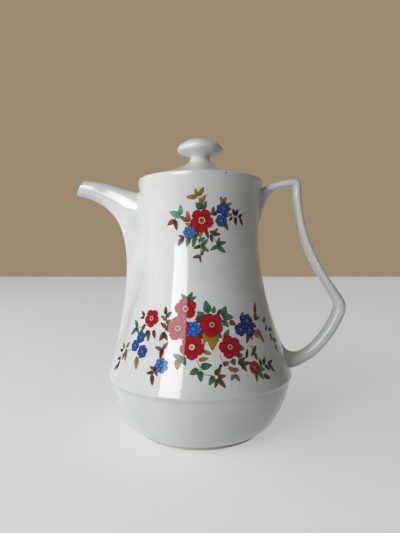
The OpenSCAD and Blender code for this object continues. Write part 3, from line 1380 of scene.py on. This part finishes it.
@dataclass(frozen=True)
class Flower:
    """A flower of equal petals, with its eye, at a bearing and a height."""

    enamel: Enamel
    centre: Pair
    radius: float
    petals: int = 5
    turn: float = 0.0
    pointed: bool = False
    over: int = 1
    eye: float = 2.2
    filled: bool = False


@dataclass(frozen=True)
class Stem:
    """A thin stem through points given as (bearing, height)."""

    points: tuple[Pair, ...]
    enamel: Enamel = Enamel.BROWN


@dataclass(frozen=True)
class Patch:
    """A dark filling between flowers."""

    enamel: Enamel
    centre: Pair
    radius: float


class Sheet:
    """One transfer: thin layers of enamel laid on the body's wall.

    Layers lie a step of `layer` apart within a tier, and tiers a step of `tier` apart.
    Lengths are in millimetres.
    """

    outline_w = 0.27
    outline_shade = 0.22
    lowest = 0.035
    layer = 0.0035
    tier = 0.07
    bedded = 0.12
    stem_w = 0.17
    rib_w = 0.14
    scallop = 0.24
    big_from = 5.6

    def __init__(self, name: str, body: PotBody, turned: float) -> None:
        """Starts an empty transfer.

        Args:
            name: The piece's name.
            body: The body that it lies on.
            turned: How far round the pot it is laid, in degrees.
        """
        self.name, self.body, self.turned = name, body, turned
        self.points: list[Array] = []
        self.colours: list[Array] = []
        self.faces: list[list[int]] = []
        self.corners: list[Array] = []
        self.count = 0
        self.order = 0
        self.over = 0

    def spot(self, place: Pair, flat: Array) -> Array:
        """Where points of a flat drawing fall on the wall.

        Args:
            place: The bearing and height that the drawing's origin is laid at.
            flat: Points as millimetres across and up the wall.

        Returns:
            The points on the wall.
        """
        lean = math.atan(float(self.body.slope(place[1])))
        z = place[1] + flat[..., 1] * math.cos(lean)
        r = self.body.radius(z)
        b = np.radians(place[0] + self.turned) + flat[..., 0] / r
        return np.stack([r * np.sin(b), -r * np.cos(b), z], -1)

    def across(self, start: Pair, end: Pair) -> Array:
        """The step from one place to another, as millimetres across and up the wall.

        Args:
            start: The first place, as (bearing, height).
            end: The second.

        Returns:
            The step.
        """
        z = (start[1] + end[1]) / 2
        lean = math.atan(float(self.body.slope(z)))
        r = float(self.body.radius(z))
        return np.array([math.radians(end[0] - start[0]) * r, (end[1] - start[1]) / math.cos(lean)])

    def lay(self, place: Pair, grid: Array, level: float, colours: Array) -> None:
        """Lays a thin closed patch of enamel.

        Args:
            place: Where the drawing's origin is laid.
            grid: The patch's points in rows and columns, in the flat drawing.
            level: The layer that it lies in.
            colours: One colour, or a colour for each row.
        """
        m, n = grid.shape[:2]
        low = self.spot(place, grid.reshape(-1, 2))
        normals = self.body.normals(low)
        lift = self.lowest + self.tier * self.over + self.layer * level
        first = self.count
        self.points += [low + lift * normals, low - self.bedded * normals]
        shade = np.repeat(np.broadcast_to(colours, (m, 3)), n, axis=0)
        self.colours += [shade, shade]
        self.count += 2 * m * n
        under = m * n
        for i in range(m - 1):
            for j in range(n - 1):
                quad = [i * n + j, i * n + j + 1, (i + 1) * n + j + 1, (i + 1) * n + j]
                self.faces.append([first + k for k in quad])
                self.corners.append(normals[quad])
                back = quad[::-1]
                self.faces.append([first + under + k for k in back])
                self.corners.append(-normals[back])
        rim = [*range(n), *(i * n + n - 1 for i in range(1, m))]
        rim += [(m - 1) * n + j for j in range(n - 2, -1, -1)]
        rim += [i * n for i in range(m - 2, 0, -1)]
        for a, b in zip(rim, rim[1:] + rim[:1]):
            side = [first + a, first + under + a, first + under + b, first + b]
            p, q, r = low[a] + normals[a], low[a], low[b]
            face = unit(np.cross(q - p, r - p))
            self.faces.append(side)
            self.corners.append(np.repeat(face[None], 4, axis=0))

    def shaped(
        self, widths: Array, along: Array, start: Array, end: Array, columns: int = 3
    ) -> Array:
        """A strip drawn round a line, wide or narrow along its way.

        Args:
            widths: Its half width at each share of the way.
            along: Those shares, which may run a little past 0 and 1.
            start: Where the line starts.
            end: Where it ends.
            columns: How many points it has across.

        Returns:
            The strip's points in rows and columns.
        """
        way = end - start
        side = np.array([way[1], -way[0]]) / max(float(np.linalg.norm(way)), TINY)
        s = np.linspace(-1, 1, columns)
        middle = start + along[:, None] * way
        return middle[:, None] + (widths[:, None] * s)[..., None] * side

    def stroke(
        self,
        place: Pair,
        widths: Sequence[float],
        along: Sequence[float],
        ends: tuple[Array, Array],
        level: float,
        colour: Array,
    ) -> None:
        """Lays a fine stroke of one colour.

        Args:
            place: Where the drawing's origin is laid.
            widths: Its half width at each share of the way.
            along: Those shares.
            ends: Where the stroke's line starts and ends.
            level: The layer that it lies in.
            colour: Its colour.
        """
        grid = self.shaped(np.array(widths), np.array(along), *ends, 2)
        self.lay(place, grid, level, colour)

    def leaf(self, leaf: Leaf) -> None:
        """Prints a leaf: its outline, its blade in two shades, its rib and its veins.

        Args:
            leaf: The leaf.
        """
        self.over, level = 0, 1 + 3 * (self.order % 6)
        self.order += 1
        way = self.across(leaf.base, leaf.tip)
        length = float(np.linalg.norm(way))
        t = np.linspace(0, 1, 11)
        blade = leaf.width / 2 * t**0.6 * (1 - t) ** 1.15 / 0.325
        o = self.outline_w / length
        zero = np.zeros(2)
        dark, light = np.array(leaf.enamel.dark), np.array(leaf.enamel.light)
        past = np.linspace(-o, 1 + 2 * o, len(t))
        around = blade + self.outline_w * np.array([0.5, *[0.85] * (len(t) - 2), 0.1])
        self.lay(leaf.base, self.shaped(around, past, zero, way), level, self.outline_shade * dark)
        shade = light + (dark - light) * (0.8 * (1 - t[:, None]) ** 2)
        inside = np.maximum(blade - 0.05, 0.02)
        self.lay(leaf.base, self.shaped(inside, t, zero, way), level + 1, shade)
        rib, ink = np.linspace(-0.05, 0.8, 4), 0.3 * dark
        thinning = self.rib_w * np.linspace(1, 0.4, 4)
        self.stroke(leaf.base, thinning, rib, (zero, way), level + 2, ink)
        side = np.array([way[1], -way[0]]) / length
        for share in (0.22, 0.42) if leaf.width > 2.5 else ():
            for hand in (-1, 1):
                start = share * way
                ends = start, (share + 0.2) * way + hand * 0.36 * leaf.width * side
                self.stroke(leaf.base, (0.09, 0.06, 0.03), (0, 0.5, 1), ends, level + 1.7, ink)

    def stem(self, stem: Stem) -> None:
        """Prints a stem as one thin line.

        Args:
            stem: The stem.
        """
        self.over = 0
        origin = stem.points[0]
        path = evened(np.array([self.across(origin, p) for p in stem.points]), 1.2)
        d = unit(np.gradient(path, axis=0))
        side = np.stack([d[:, 1], -d[:, 0]], 1)
        grid = path[:, None] + self.stem_w * side[:, None] * np.array([-1, 1])[None, :, None]
        self.lay(origin, grid, 0, np.array(stem.enamel.dark))

    def disc(
        self, place: Pair, radius: float, level: float, enamel: Enamel, waves: int = 0
    ) -> None:
        """Prints a round spot, scalloped if it has waves.

        Args:
            place: Its centre.
            radius: Its radius.
            level: The layer that it lies in.
            enamel: Its colour, in the light shade.
            waves: How many scallops it has.
        """
        a = np.linspace(0, 2 * math.pi, 49 if waves else 25)
        dips = self.scallop * (1 - np.abs(np.sin(waves * a / 2))) if waves else 0 * a
        edge = radius * (1 - dips)
        ring = np.stack([np.cos(a), np.sin(a)], 1) * edge[:, None]
        half = len(a) // 2
        upper, lower = ring[: half + 1], ring[half:][::-1]
        s = np.linspace(0, 1, 5)[None, :, None]
        grid = lower[:, None] * (1 - s) + upper[:, None] * s
        self.lay(place, grid, level, np.array(enamel.light))

    def flower(self, flower: Flower) -> None:
        """Prints a flower: petals with outlines and veins or pale strokes, and the eye.

        Args:
            flower: The flower.
        """
        self.over = flower.over
        dark, light = np.array(flower.enamel.dark), np.array(flower.enamel.light)
        rows, big = 9, flower.radius > self.big_from
        t = np.linspace(0, 1, rows)
        spread = math.pi / flower.petals * flower.radius
        for k in range(flower.petals):
            a = math.radians(flower.turn + 360 * k / flower.petals)
            way = flower.radius * np.array([math.sin(a), math.cos(a)])
            if flower.pointed:
                taper = t**0.9 * (1 - t) ** 0.45 / 0.42
                width = (0.95 - 0.05 * flower.petals) * spread * taper + 0.05
            else:
                width = spread * (0.16 + 0.84 * t**0.8) * np.sqrt(np.clip(1.01 - t**4, 0, 1))
            start = 0.06 * way
            depth = 0.9 * (1 - t[:, None]) ** 1.5 + 0.25 * t[:, None] ** 6
            shade = light + (dark - light) * depth
            for grow, level, colours in (
                (self.outline_w, 2 * k, self.outline_shade * dark),
                (0.0, 2 * k + 1, shade),
            ):
                o = grow / flower.radius
                grid = self.shaped(width + grow, np.linspace(-o, 1 + o, rows), start, way, 7)
                if not flower.pointed:
                    dent = np.array([0.0, 0.9, 0.9, 0.0, 0.9, 0.9, 0.0])
                    grid[-3:] += 0.045 * way * dent[None, :, None]
                self.lay(flower.centre, grid, level, colours)
            strokes = []
            if big:
                for lean in (-0.34, 0.0, 0.34):
                    tip = 0.7 * flower.radius * np.array([math.sin(a + lean), math.cos(a + lean)])
                    strokes.append(((0.11, 0.08, 0.03), (0.3, 0.65, 1), tip, 0.35 * dark))
            else:
                pale = np.minimum(1.3 * light + np.array([0.02, 0.1, 0.1]), 0.9)
                strokes.append(((0.1, 0.22, 0.08), (0.3, 0.6, 0.86), way, pale))
            for widths, along, tip, colour in strokes:
                self.stroke(flower.centre, widths, along, (np.zeros(2), tip), 2 * k + 1.5, colour)
        self.eye(flower, big)

    def eye(self, flower: Flower, big: bool) -> None:
        """Prints a flower's eye.

        Args:
            flower: The flower.
            big: Whether it has a scalloped ring of cream.
        """
        inner, middle = Enamel.DEEP_RED, Enamel.BROWN
        if flower.filled:
            inner, middle = Enamel.CREAM, Enamel.OLIVE
        discs = (
            (flower.eye + 0.22, 16.6, Enamel.INK, 9),
            (flower.eye, 17, Enamel.CREAM, 9),
            (0.66 * flower.eye, 18, inner),
            (0.42 * flower.eye, 19, middle),
        )
        if not big:
            discs = ((0.2 * flower.radius, 17, Enamel.TEAL), (0.1 * flower.radius, 18, Enamel.INK))
        for disc in discs:
            self.disc(flower.centre, *disc)

    def patch(self, patch: Patch) -> None:
        """Prints a dark filling between flowers."""
        self.over = 0
        self.disc(patch.centre, patch.radius, 0.5, patch.enamel, 7)

    def make(self, enamel: bpy.types.Material) -> None:
        """Turns the transfer into a piece.

        Args:
            enamel: Its finish.
        """
        mesh = bpy.data.meshes.new(self.name)
        mesh.from_pydata((np.concatenate(self.points) * MM).tolist(), [], self.faces)
        mesh.update()
        mesh.shade_smooth()
        mesh.normals_split_custom_set(np.concatenate(self.corners).tolist())
        colours = np.concatenate(self.colours)
        colours = np.hstack([colours, np.ones((len(colours), 1))]).astype(np.float32)
        pigment = mesh.color_attributes.new(PIGMENT, "FLOAT_COLOR", "POINT")
        pigment.data.foreach_set("color", colours.ravel())
        finish_piece(placed(self.name, mesh), enamel, "pot")


E = Enamel
Motif = Leaf | Flower | Patch | Stem


def leaves(enamel: Enamel, *rows: tuple[float, float, float, float, float]) -> tuple[Leaf, ...]:
    """Leaves of one colour, each given by its base, its tip and its width."""
    return tuple(Leaf(enamel, row[:2], row[2:4], row[4]) for row in rows)


NECK_SPRAY: tuple[Motif, ...] = (
    Stem(((1, 162), (0, 166), (-2, 170))),
    Stem(((-8, 152), (-14, 154), (-20, 156), (-23, 154))),
    Stem(((26, 157), (31, 156), (38, 157))),
    Stem(((-3, 142), (-1, 140), (0, 137), (1, 132), (0, 129))),
    Stem(((11, 144), (14, 139), (15, 136))),
    Stem(((-10, 143), (-15, 142), (-17, 140))),
    Stem(((11, 157), (14, 160), (16, 162)), E.GREEN),
    *leaves(
        E.OCHRE, (-3, 169, -11, 169, 2.8), (-2.5, 169.5, -4, 174, 2.0), (-1, 170, 3, 175, 2.7),
        (0.5, 165, 4.5, 170, 2.4), (0, 164, 0, 168, 1.6),
    ),
    *leaves(E.GREEN, (0, 161, -3, 165, 2.8), (1, 161, 1, 165.5, 2.6), (3, 161, 5, 166, 2.6)),
    *leaves(E.TEAL, (-17.5, 156.5, -26.5, 159.5, 4.2), (-17, 157.5, -16.5, 163.5, 2.8)),
    *leaves(E.ROSE, (-22.5, 154, -29, 151, 3.0)),
    *leaves(E.BROWN, (-22, 154, -20.5, 147.5, 2.6)),
    *leaves(E.ROSE, (-11, 153, -17, 156.5, 2.4)),
    *leaves(E.OCHRE, (-9.5, 153, -11, 159.5, 2.8), (-8, 150, -12, 151.5, 2.0)),
    *leaves(E.GREEN, (11, 157, 11.5, 162.5, 2.4)),
    *leaves(E.DEEP_RED, (12, 157, 15, 159.5, 1.8)),
    *leaves(
        E.OCHRE, (20, 165, 17.5, 169, 2.4), (20, 165, 22.5, 169, 2.4),
        (22.5, 163.5, 28, 165.5, 2.0),
    ),
    *leaves(E.OLIVE, (22, 160, 27.5, 162, 2.2)),
    *leaves(E.OCHRE, (23, 157.5, 28.5, 158, 2.4)),
    *leaves(E.OLIVE, (22, 152, 24.5, 147.5, 2.6)),
    *leaves(
        E.PLUM, (32, 157.5, 29.5, 161.5, 2.4), (32.5, 157.5, 35, 161.5, 2.4),
        (32.5, 156, 33, 151, 2.2), (36, 156.5, 40, 158.5, 1.8), (37.5, 156, 40.5, 151, 1.8),
        (29, 156, 26.5, 154, 1.4),
    ),
    *leaves(E.OCHRE, (1, 147, 0, 142.5, 2.4)),
    *leaves(
        E.BROWN, (-1, 146, -3.5, 142.5, 2.0), (5, 147, 7, 142, 2.2), (9, 146.5, 13, 143.5, 2.0),
        (12, 144.5, 17.5, 144.5, 2.2), (11, 145, 15, 148, 1.8), (9, 144, 10.5, 139.5, 2.0),
    ),
    *leaves(E.SAGE, (-1, 140, 4, 142, 2.2)),
    *leaves(E.BROWN, (0, 136.5, -5, 135, 2.2)),
    *leaves(E.SAGE, (1, 136.5, 6.5, 141, 2.6), (1, 136.5, 7, 133, 2.6)),
    *leaves(E.MAUVE, (1, 130.5, 3, 134, 1.8), (0, 130, -5.5, 129, 2.2), (0, 130, 0.5, 126, 1.2)),
    *leaves(E.GREEN, (14.5, 138, 22.5, 139, 2.8)),
    *leaves(E.SAGE, (14.5, 136.5, 9, 134, 2.4)),
    *leaves(E.GREEN, (14.5, 136.5, 22, 132.5, 3.0)),
    *leaves(
        E.SAGE, (14.5, 138, 17, 142, 1.8), (-9, 142, -11.5, 136.5, 2.6), (-4, 143, -6, 136, 2.6),
    ),
    *leaves(E.MAUVE, (-14, 142, -18, 143.5, 1.8), (-14.5, 142, -19, 137, 2.8)),
    Patch(E.UMBER, (-2.5, 147.5), 2.4),
    Flower(E.BLUE, (20.5, 161.5), 4.0, 6, 10, True),
    Flower(E.BLUE, (18.5, 153.5), 4.0, 6, 30, True),
    *leaves(E.BLUE, (17, 158.5, 15, 163.5, 2.6), (21, 155, 23.5, 158.5, 2.4)),
    Flower(E.SKY, (-9, 145.5), 4.2, 7, 12, True),
    Flower(E.RED, (1.5, 153.5), 7.5, 5, 31, over=2, eye=2.4),
)

BELLY_GARLAND: tuple[Motif, ...] = (
    # left end
    Stem(((-36, 84), (-44, 82), (-50, 80), (-53, 77))),
    Stem(((-44, 70), (-50, 66), (-57, 63), (-61, 58), (-62, 52))),
    Stem(((-26, 96), (-24, 90), (-24, 84), (-24, 78))),
    Stem(((-24, 60), (-27, 57), (-28, 52))),
    *leaves(E.BROWN, (-45, 89, -49.5, 91.5, 1.8), (-45, 88, -49, 87, 1.6)),
    *leaves(
        E.GREEN, (-50, 81, -55.5, 84.5, 2.6), (-51, 80, -56, 75, 3.0), (-51, 80, -47, 77.5, 2.2),
    ),
    *leaves(E.OLIVE, (-42, 83.5, -45.5, 78, 2.4)),
    *leaves(
        E.BROWN, (-37.5, 80, -36, 73.5, 2.8), (-33.5, 80.5, -31, 76, 2.4),
        (-38.5, 80, -40, 75.5, 1.8), (-25.5, 91.5, -26, 96, 2.0),
    ),
    *leaves(E.MAUVE, (-24.5, 90, -21, 93, 2.2)),
    *leaves(E.OCHRE, (-24, 88, -28.5, 90, 2.2)),
    *leaves(E.ROSE, (-24, 86, -20.5, 88, 2.0)),
    *leaves(E.OLIVE, (-24, 83.5, -28, 85.5, 2.2)),
    *leaves(E.GREEN, (-24, 82, -20.5, 84, 2.0)),
    *leaves(E.BROWN, (-24, 80, -27, 75, 3.2), (-24, 79, -21.5, 75.5, 2.0)),
    *leaves(E.OCHRE, (-42.5, 62.5, -40.5, 55.5, 3.6)),
    *leaves(E.OLIVE, (-60, 64.5, -64.5, 67.5, 2.2), (-57, 66, -55, 70, 2.0)),
    *leaves(E.PLUM, (-61, 63, -66, 62.5, 1.8)),
    *leaves(E.ROSE, (-56.5, 65, -53.5, 58, 3.0)),
    *leaves(
        E.PLUM, (-58, 62, -57, 58, 1.8), (-61, 58, -65, 56.5, 2.0), (-61, 56, -60.5, 50.5, 2.4),
        (-62, 53, -64.5, 49, 2.2),
    ),
    *leaves(E.ROSE, (-23.5, 70, -21, 74, 2.4), (-24.5, 69.5, -29, 70.5, 2.2)),
    *leaves(E.DEEP_RED, (-24, 70, -24.5, 64, 2.6)),
    *leaves(
        E.BROWN, (-26, 57, -30, 58.5, 2.2), (-27.5, 55.5, -31.5, 54.5, 2.0),
        (-28, 54, -26.5, 48.5, 2.6),
    ),
    *leaves(E.MAUVE, (-27, 57, -24.5, 54, 1.8)),
    Flower(E.BLUE, (-43.5, 75), 3.9, 6, 0, True),
    Flower(E.BLUE, (-47, 69), 3.9, 6, 25, True),
    Flower(E.BLUE, (-39, 66.5), 4.3, 6, 10, True),
    Flower(E.SKY, (-23, 60), 4.7, 7, 5, True),
    Flower(E.RED, (-37, 88), 5.8, 5, 32, over=2, eye=1.7),
    # middle
    Stem(((-2, 64.5), (0, 60.5), (0, 59), (3, 56), (7.5, 55.5))),
    Stem(((12, 67), (14, 62), (18, 60), (20, 57), (20, 53))),
    Stem(((22, 72), (25, 67), (23, 62), (28, 61))),
    *leaves(
        E.GREEN, (-10, 101, -14, 104.5, 2.6), (-9, 101, -6, 106, 2.8), (-8, 101, -3.5, 103, 2.2),
        (6, 93, 4, 100.5, 5.0), (9.5, 93, 10.5, 96.5, 2.4), (2.5, 90.5, -1.5, 93.5, 4.0),
        (16, 91, 19, 96.5, 4.6), (16, 90.5, 24, 89.5, 4.2), (16, 88, 19.5, 84, 3.4),
        (11, 80.5, 14, 77.5, 2.6), (16, 77, 19.5, 82, 3.2),
    ),
    *leaves(E.DEEP_RED, (12.5, 91, 14.5, 95, 1.8)),
    *leaves(E.RUST, (21, 87, 25, 85, 3.4)),
    *leaves(
        E.OCHRE, (4.5, 81, 3, 75, 5.0), (8.5, 80, 7.5, 70.5, 6.2), (9, 80.5, 11.5, 75.5, 4.0),
        (0, 70, 2.5, 74.5, 2.4), (2.5, 69.5, 6.5, 68, 2.2), (-0.5, 64.5, 4.5, 65.5, 2.2),
    ),
    *leaves(E.TEAL, (-11.5, 65.5, -16, 67, 3.0)),
    *leaves(E.GREEN, (-11, 66.5, -8.5, 61.5, 3.4)),
    *leaves(E.OCHRE, (-13, 64.5, -13, 59, 4.0)),
    *leaves(
        E.GREEN, (0.5, 60.5, 6.5, 61.5, 4.2), (-1, 59, -5.5, 56.5, 3.8), (0, 58, 0.5, 52.5, 3.4),
        (7.5, 55, 5, 50.5, 3.0),
    ),
    *leaves(
        E.BROWN, (8.5, 56, 11.5, 59.5, 3.2), (10, 54.5, 14, 55, 2.4), (9.5, 53.5, 8, 49, 2.2),
        (10, 53.5, 13.5, 48.5, 2.7),
    ),
    *leaves(E.RUST, (13.5, 61.5, 17, 62.5, 2.8)),
    *leaves(E.PLUM, (12.5, 61.5, 11, 59.5, 1.4)),
    *leaves(E.OCHRE, (19.5, 58, 16.5, 59, 2.6), (19.5, 58, 22.5, 57.5, 2.6)),
    *leaves(E.SAGE, (19, 55, 17.5, 52.5, 2.2), (20, 55, 22, 51.5, 2.2)),
    Patch(E.UMBER, (0, 89), 3.2),
    Patch(E.UMBER, (0.5, 80), 3.2),
    *leaves(E.BLUE, (-5, 82, -5.5, 76.5, 3.4)),
    Flower(E.RED, (-10.5, 95.5), 7.0, 5, 58, over=2, eye=2.0),
    Flower(E.RED, (-15, 83), 7.4, 5, 60, over=3, eye=2.0),
    Flower(E.BRIGHT, (-4.5, 83), 5.0, 7, 18, True),
    Flower(E.RED, (8, 85.5), 7.4, 5, 47, over=2, eye=1.8),
    Flower(E.RED, (19, 71.5), 7.2, 5, 56, over=2, eye=1.8),
    Flower(E.RED, (-5, 72), 7.5, 5, 34, over=4, eye=2.1, filled=True),
    # right end
    Stem(((28, 80), (38, 84), (44, 88), (47, 95))),
    Stem(((36, 80), (42, 80), (46, 78))),
    Stem(((50, 86), (57, 80), (60, 73), (61, 66))),
    Stem(((32, 71), (36, 70), (36, 64))),
    Stem(((34, 58), (40, 58), (46, 57))),
    *leaves(
        E.GREEN, (24.5, 71, 28.5, 69.5, 3.6), (23, 66, 26.5, 66, 3.4), (19.5, 64, 20.5, 61, 3.6),
    ),
    *leaves(
        E.BROWN, (23, 61, 28, 64.5, 3.0), (24, 60.5, 31.5, 61, 2.6), (25, 60.5, 27.5, 56.5, 2.4),
    ),
    *leaves(E.DEEP_RED, (29, 64, 31, 69, 1.8)),
    *leaves(E.NAVY, (32, 83.5, 30, 89.5, 2.8)),
    *leaves(E.OLIVE, (30, 87, 33, 92.5, 2.8)),
    *leaves(E.BROWN, (45, 91, 48, 97.5, 2.8), (44, 87.5, 46, 91.5, 2.4), (43, 87, 49, 87.5, 2.2)),
    *leaves(
        E.DEEP_RED, (39, 84, 43, 82, 2.6), (35, 79, 31.5, 73, 2.8), (35.5, 79, 36.5, 74.5, 2.0),
    ),
    *leaves(E.OCHRE, (40, 80, 42, 74.5, 3.0), (43.5, 80, 47.5, 71, 3.4)),
    *leaves(
        E.PLUM, (53, 84, 57, 86, 2.4), (56, 81, 53, 78, 2.2), (58, 78, 63.5, 77.5, 2.6),
        (59, 75, 57, 70.5, 2.4), (60, 71, 65, 69, 2.6), (61, 67, 61.5, 62, 2.4),
    ),
    *leaves(
        E.GREEN, (35, 67, 38.5, 70, 2.6), (36, 67, 33, 65, 2.2), (36, 66, 37, 62, 2.2),
        (35.5, 57, 41, 55, 3.0), (35.5, 56, 38, 50, 3.0), (34, 54.5, 33, 49.5, 2.0),
    ),
    *leaves(E.BROWN, (39, 52, 43.5, 49, 2.8)),
    *leaves(
        E.PLUM, (41, 58.5, 44, 62, 2.2), (39, 58, 39, 62, 1.8), (42, 57.5, 45.5, 54, 2.2),
        (45, 57.5, 50, 59, 2.2), (46, 57, 49.5, 52, 2.2),
    ),
    Flower(E.NAVY, (28.5, 81.5), 4.3, 6, 0, True),
    Flower(E.NAVY, (35.5, 86.5), 4.5, 6, 20, True),
    Flower(E.NAVY, (36, 80.5), 4.1, 6, 40, True),
    Flower(E.RED, (33.5, 57.5), 4.0, 5, 10, True),
)

# each speck's bearing and height, and its radius
SPECKS: tuple[tuple[Pair, float], ...] = (
    ((21.5, 185), 0.5),
    ((-10, 47), 0.3),
    ((17, 47), 0.32),
    ((5.5, 49), 0.26),
    ((35.5, 116.5), 0.2),
    ((-30, 124), 0.16),
    ((-64, 94), 0.16),
    ((-15.5, 47.5), 0.2),
    ((34.5, 183), 0.16),
)


@dataclass
class Transfers:
    """The printed sprays: one on the neck and one on the belly, front and back."""

    body: PotBody

    def build(self, enamel: bpy.types.Material) -> None:
        """Prints all sprays, and the iron specks in the glaze as a piece of their own.

        Args:
            enamel: Their finish.
        """
        prints = {Leaf: Sheet.leaf, Flower: Sheet.flower, Patch: Sheet.patch, Stem: Sheet.stem}
        for side, turned in (("front", 0.0), ("back", 180.0)):
            for name, motifs in (("neck_spray", NECK_SPRAY), ("belly_garland", BELLY_GARLAND)):
                sheet = Sheet(f"{name}_{side}", self.body, turned)
                for motif in motifs:
                    prints[type(motif)](sheet, motif)
                sheet.make(enamel)
        specks = Sheet("kiln_specks", self.body, 0.0)
        for place, radius in SPECKS:
            specks.disc(place, radius, 0, Enamel.INK)
        specks.make(enamel)


# ---- studio ----


@dataclass(frozen=True)
class SoftBox:
    """A soft rectangular lamp that faces the pot. Lengths in metres."""

    name: str
    bearing: float
    elevation: float
    distance: float
    width: float
    height: float
    radiance: float
    lights_matt: bool = True
    shines: bool = True
    tint: Colour = (0.965, 0.985, 1.0)

    def build(self, aim: Vector) -> None:
        """Hangs the lamp.

        Args:
            aim: The point that it faces.
        """
        data = bpy.data.lights.new(self.name, "AREA")
        data.shape = "RECTANGLE"
        data.size, data.size_y = self.width, self.height
        data.energy = self.radiance * math.pi * self.width * self.height
        data.color = self.tint
        lamp = placed(self.name, data)
        b, e = math.radians(self.bearing), math.radians(self.elevation)
        way = Vector((math.sin(b) * math.cos(e), -math.cos(b) * math.cos(e), math.sin(e)))
        lamp.location = aim + self.distance * way
        lamp.rotation_euler = way.to_track_quat("Z", "Y").to_euler()
        lamp.visible_camera = False
        lamp.visible_diffuse = self.lights_matt
        lamp.visible_glossy = self.shines


@dataclass
class Studio:
    """Camera, lamps, floor and background. Lengths in metres."""

    camera_back: float = 0.3163
    camera_z: float = 0.13155
    camera_pitch: float = 1.82
    lens: float = 27.54
    floor_span: float = 4.0
    backdrop: Colour = paint(156, 137, 112)
    fill: float = 0.04
    fill_tint: Colour = (1.0, 0.97, 0.93)

    def camera(self) -> None:
        """Makes the camera first, at the viewing angle."""
        data = bpy.data.cameras.new("view")
        data.lens = self.lens
        data.sensor_width = 36.0
        data.clip_start = 0.01
        camera = placed("view", data)
        camera.location = (0.0, -self.camera_back, self.camera_z)
        camera.rotation_euler = (math.radians(90 - self.camera_pitch), 0.0, 0.0)
        bpy.context.scene.camera = camera

    def floor(self) -> None:
        """Lays the floor."""
        half = self.floor_span / 2
        mesh = bpy.data.meshes.new("floor")
        edge = [(-half, -half, 0), (half, -half, 0), (half, half, 0), (-half, half, 0)]
        mesh.from_pydata(edge, [], [(0, 1, 2, 3)])
        floor = placed("floor", mesh)
        mesh.materials.append(PalePaper().build())

    def world(self) -> None:
        """Sets the plain background and the faint light that comes from all round."""
        world = bpy.data.worlds.new("studio")
        bpy.context.scene.world = world
        tree = Tree(world)
        tree.nodes.clear()
        shades = []
        for colour, strength in ((self.fill_tint, self.fill), (self.backdrop, 1.0)):
            sockets = {"Color": colour, "Strength": strength}
            shades.append(tree.add("ShaderNodeBackground", None, sockets).outputs[0])
        choices = {0: tree.looked_at(), 1: shades[0], 2: shades[1]}
        shown = tree.add("ShaderNodeMixShader", None, choices).outputs[0]
        tree.add("ShaderNodeOutputWorld", None, {"Surface": shown})

    def lamps(self) -> None:
        """Hangs the lamps."""
        aim = Vector((0.0, 0.0, 0.11))
        for box in (
            SoftBox("key", -42, 25, 1.3, 0.6, 0.9, 5.5, shines=False),
            SoftBox("side", -72, 25, 1.3, 0.65, 0.9, 2.3, shines=False),
            SoftBox("rear", -104, 20, 1.3, 0.8, 0.9, 1.1, shines=False),
            SoftBox("window", -35, 28, 1.2, 0.55, 0.9, 6.2, lights_matt=False),
        ):
            box.build(aim)

    def settings(self) -> None:
        """Leaves the picture's colours as they are written."""
        bpy.context.scene.view_settings.view_transform = "Standard"


def corners(box: Sequence[Sequence[float]]) -> list[list[float]]:
    """A box's two corners as plain lists."""
    return [[float(v) for v in corner] for corner in box]


def main() -> None:
    """Builds the pot's pieces in order and the studio round them."""
    logging.basicConfig(level=logging.INFO, format="%(message)s")
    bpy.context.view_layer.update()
    studio = Studio()
    studio.camera()
    low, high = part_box("pot_body")
    body = PotBody(rim_z=high.z / MM, ridge_r=high.y / MM, foot_h=low.z / MM)
    glaze = PorcelainGlaze().build(body.ridge_z)
    body.build(glaze)
    Spout(body).build(glaze)
    Handle(body).build(glaze)
    FootRing().build(FiredBiscuit().build())
    Lid(body).build(glaze)
    Transfers(body).build(TransferEnamel().build())
    studio.floor()
    studio.world()
    studio.lamps()
    studio.settings()


if __name__ == "__main__":
    main()
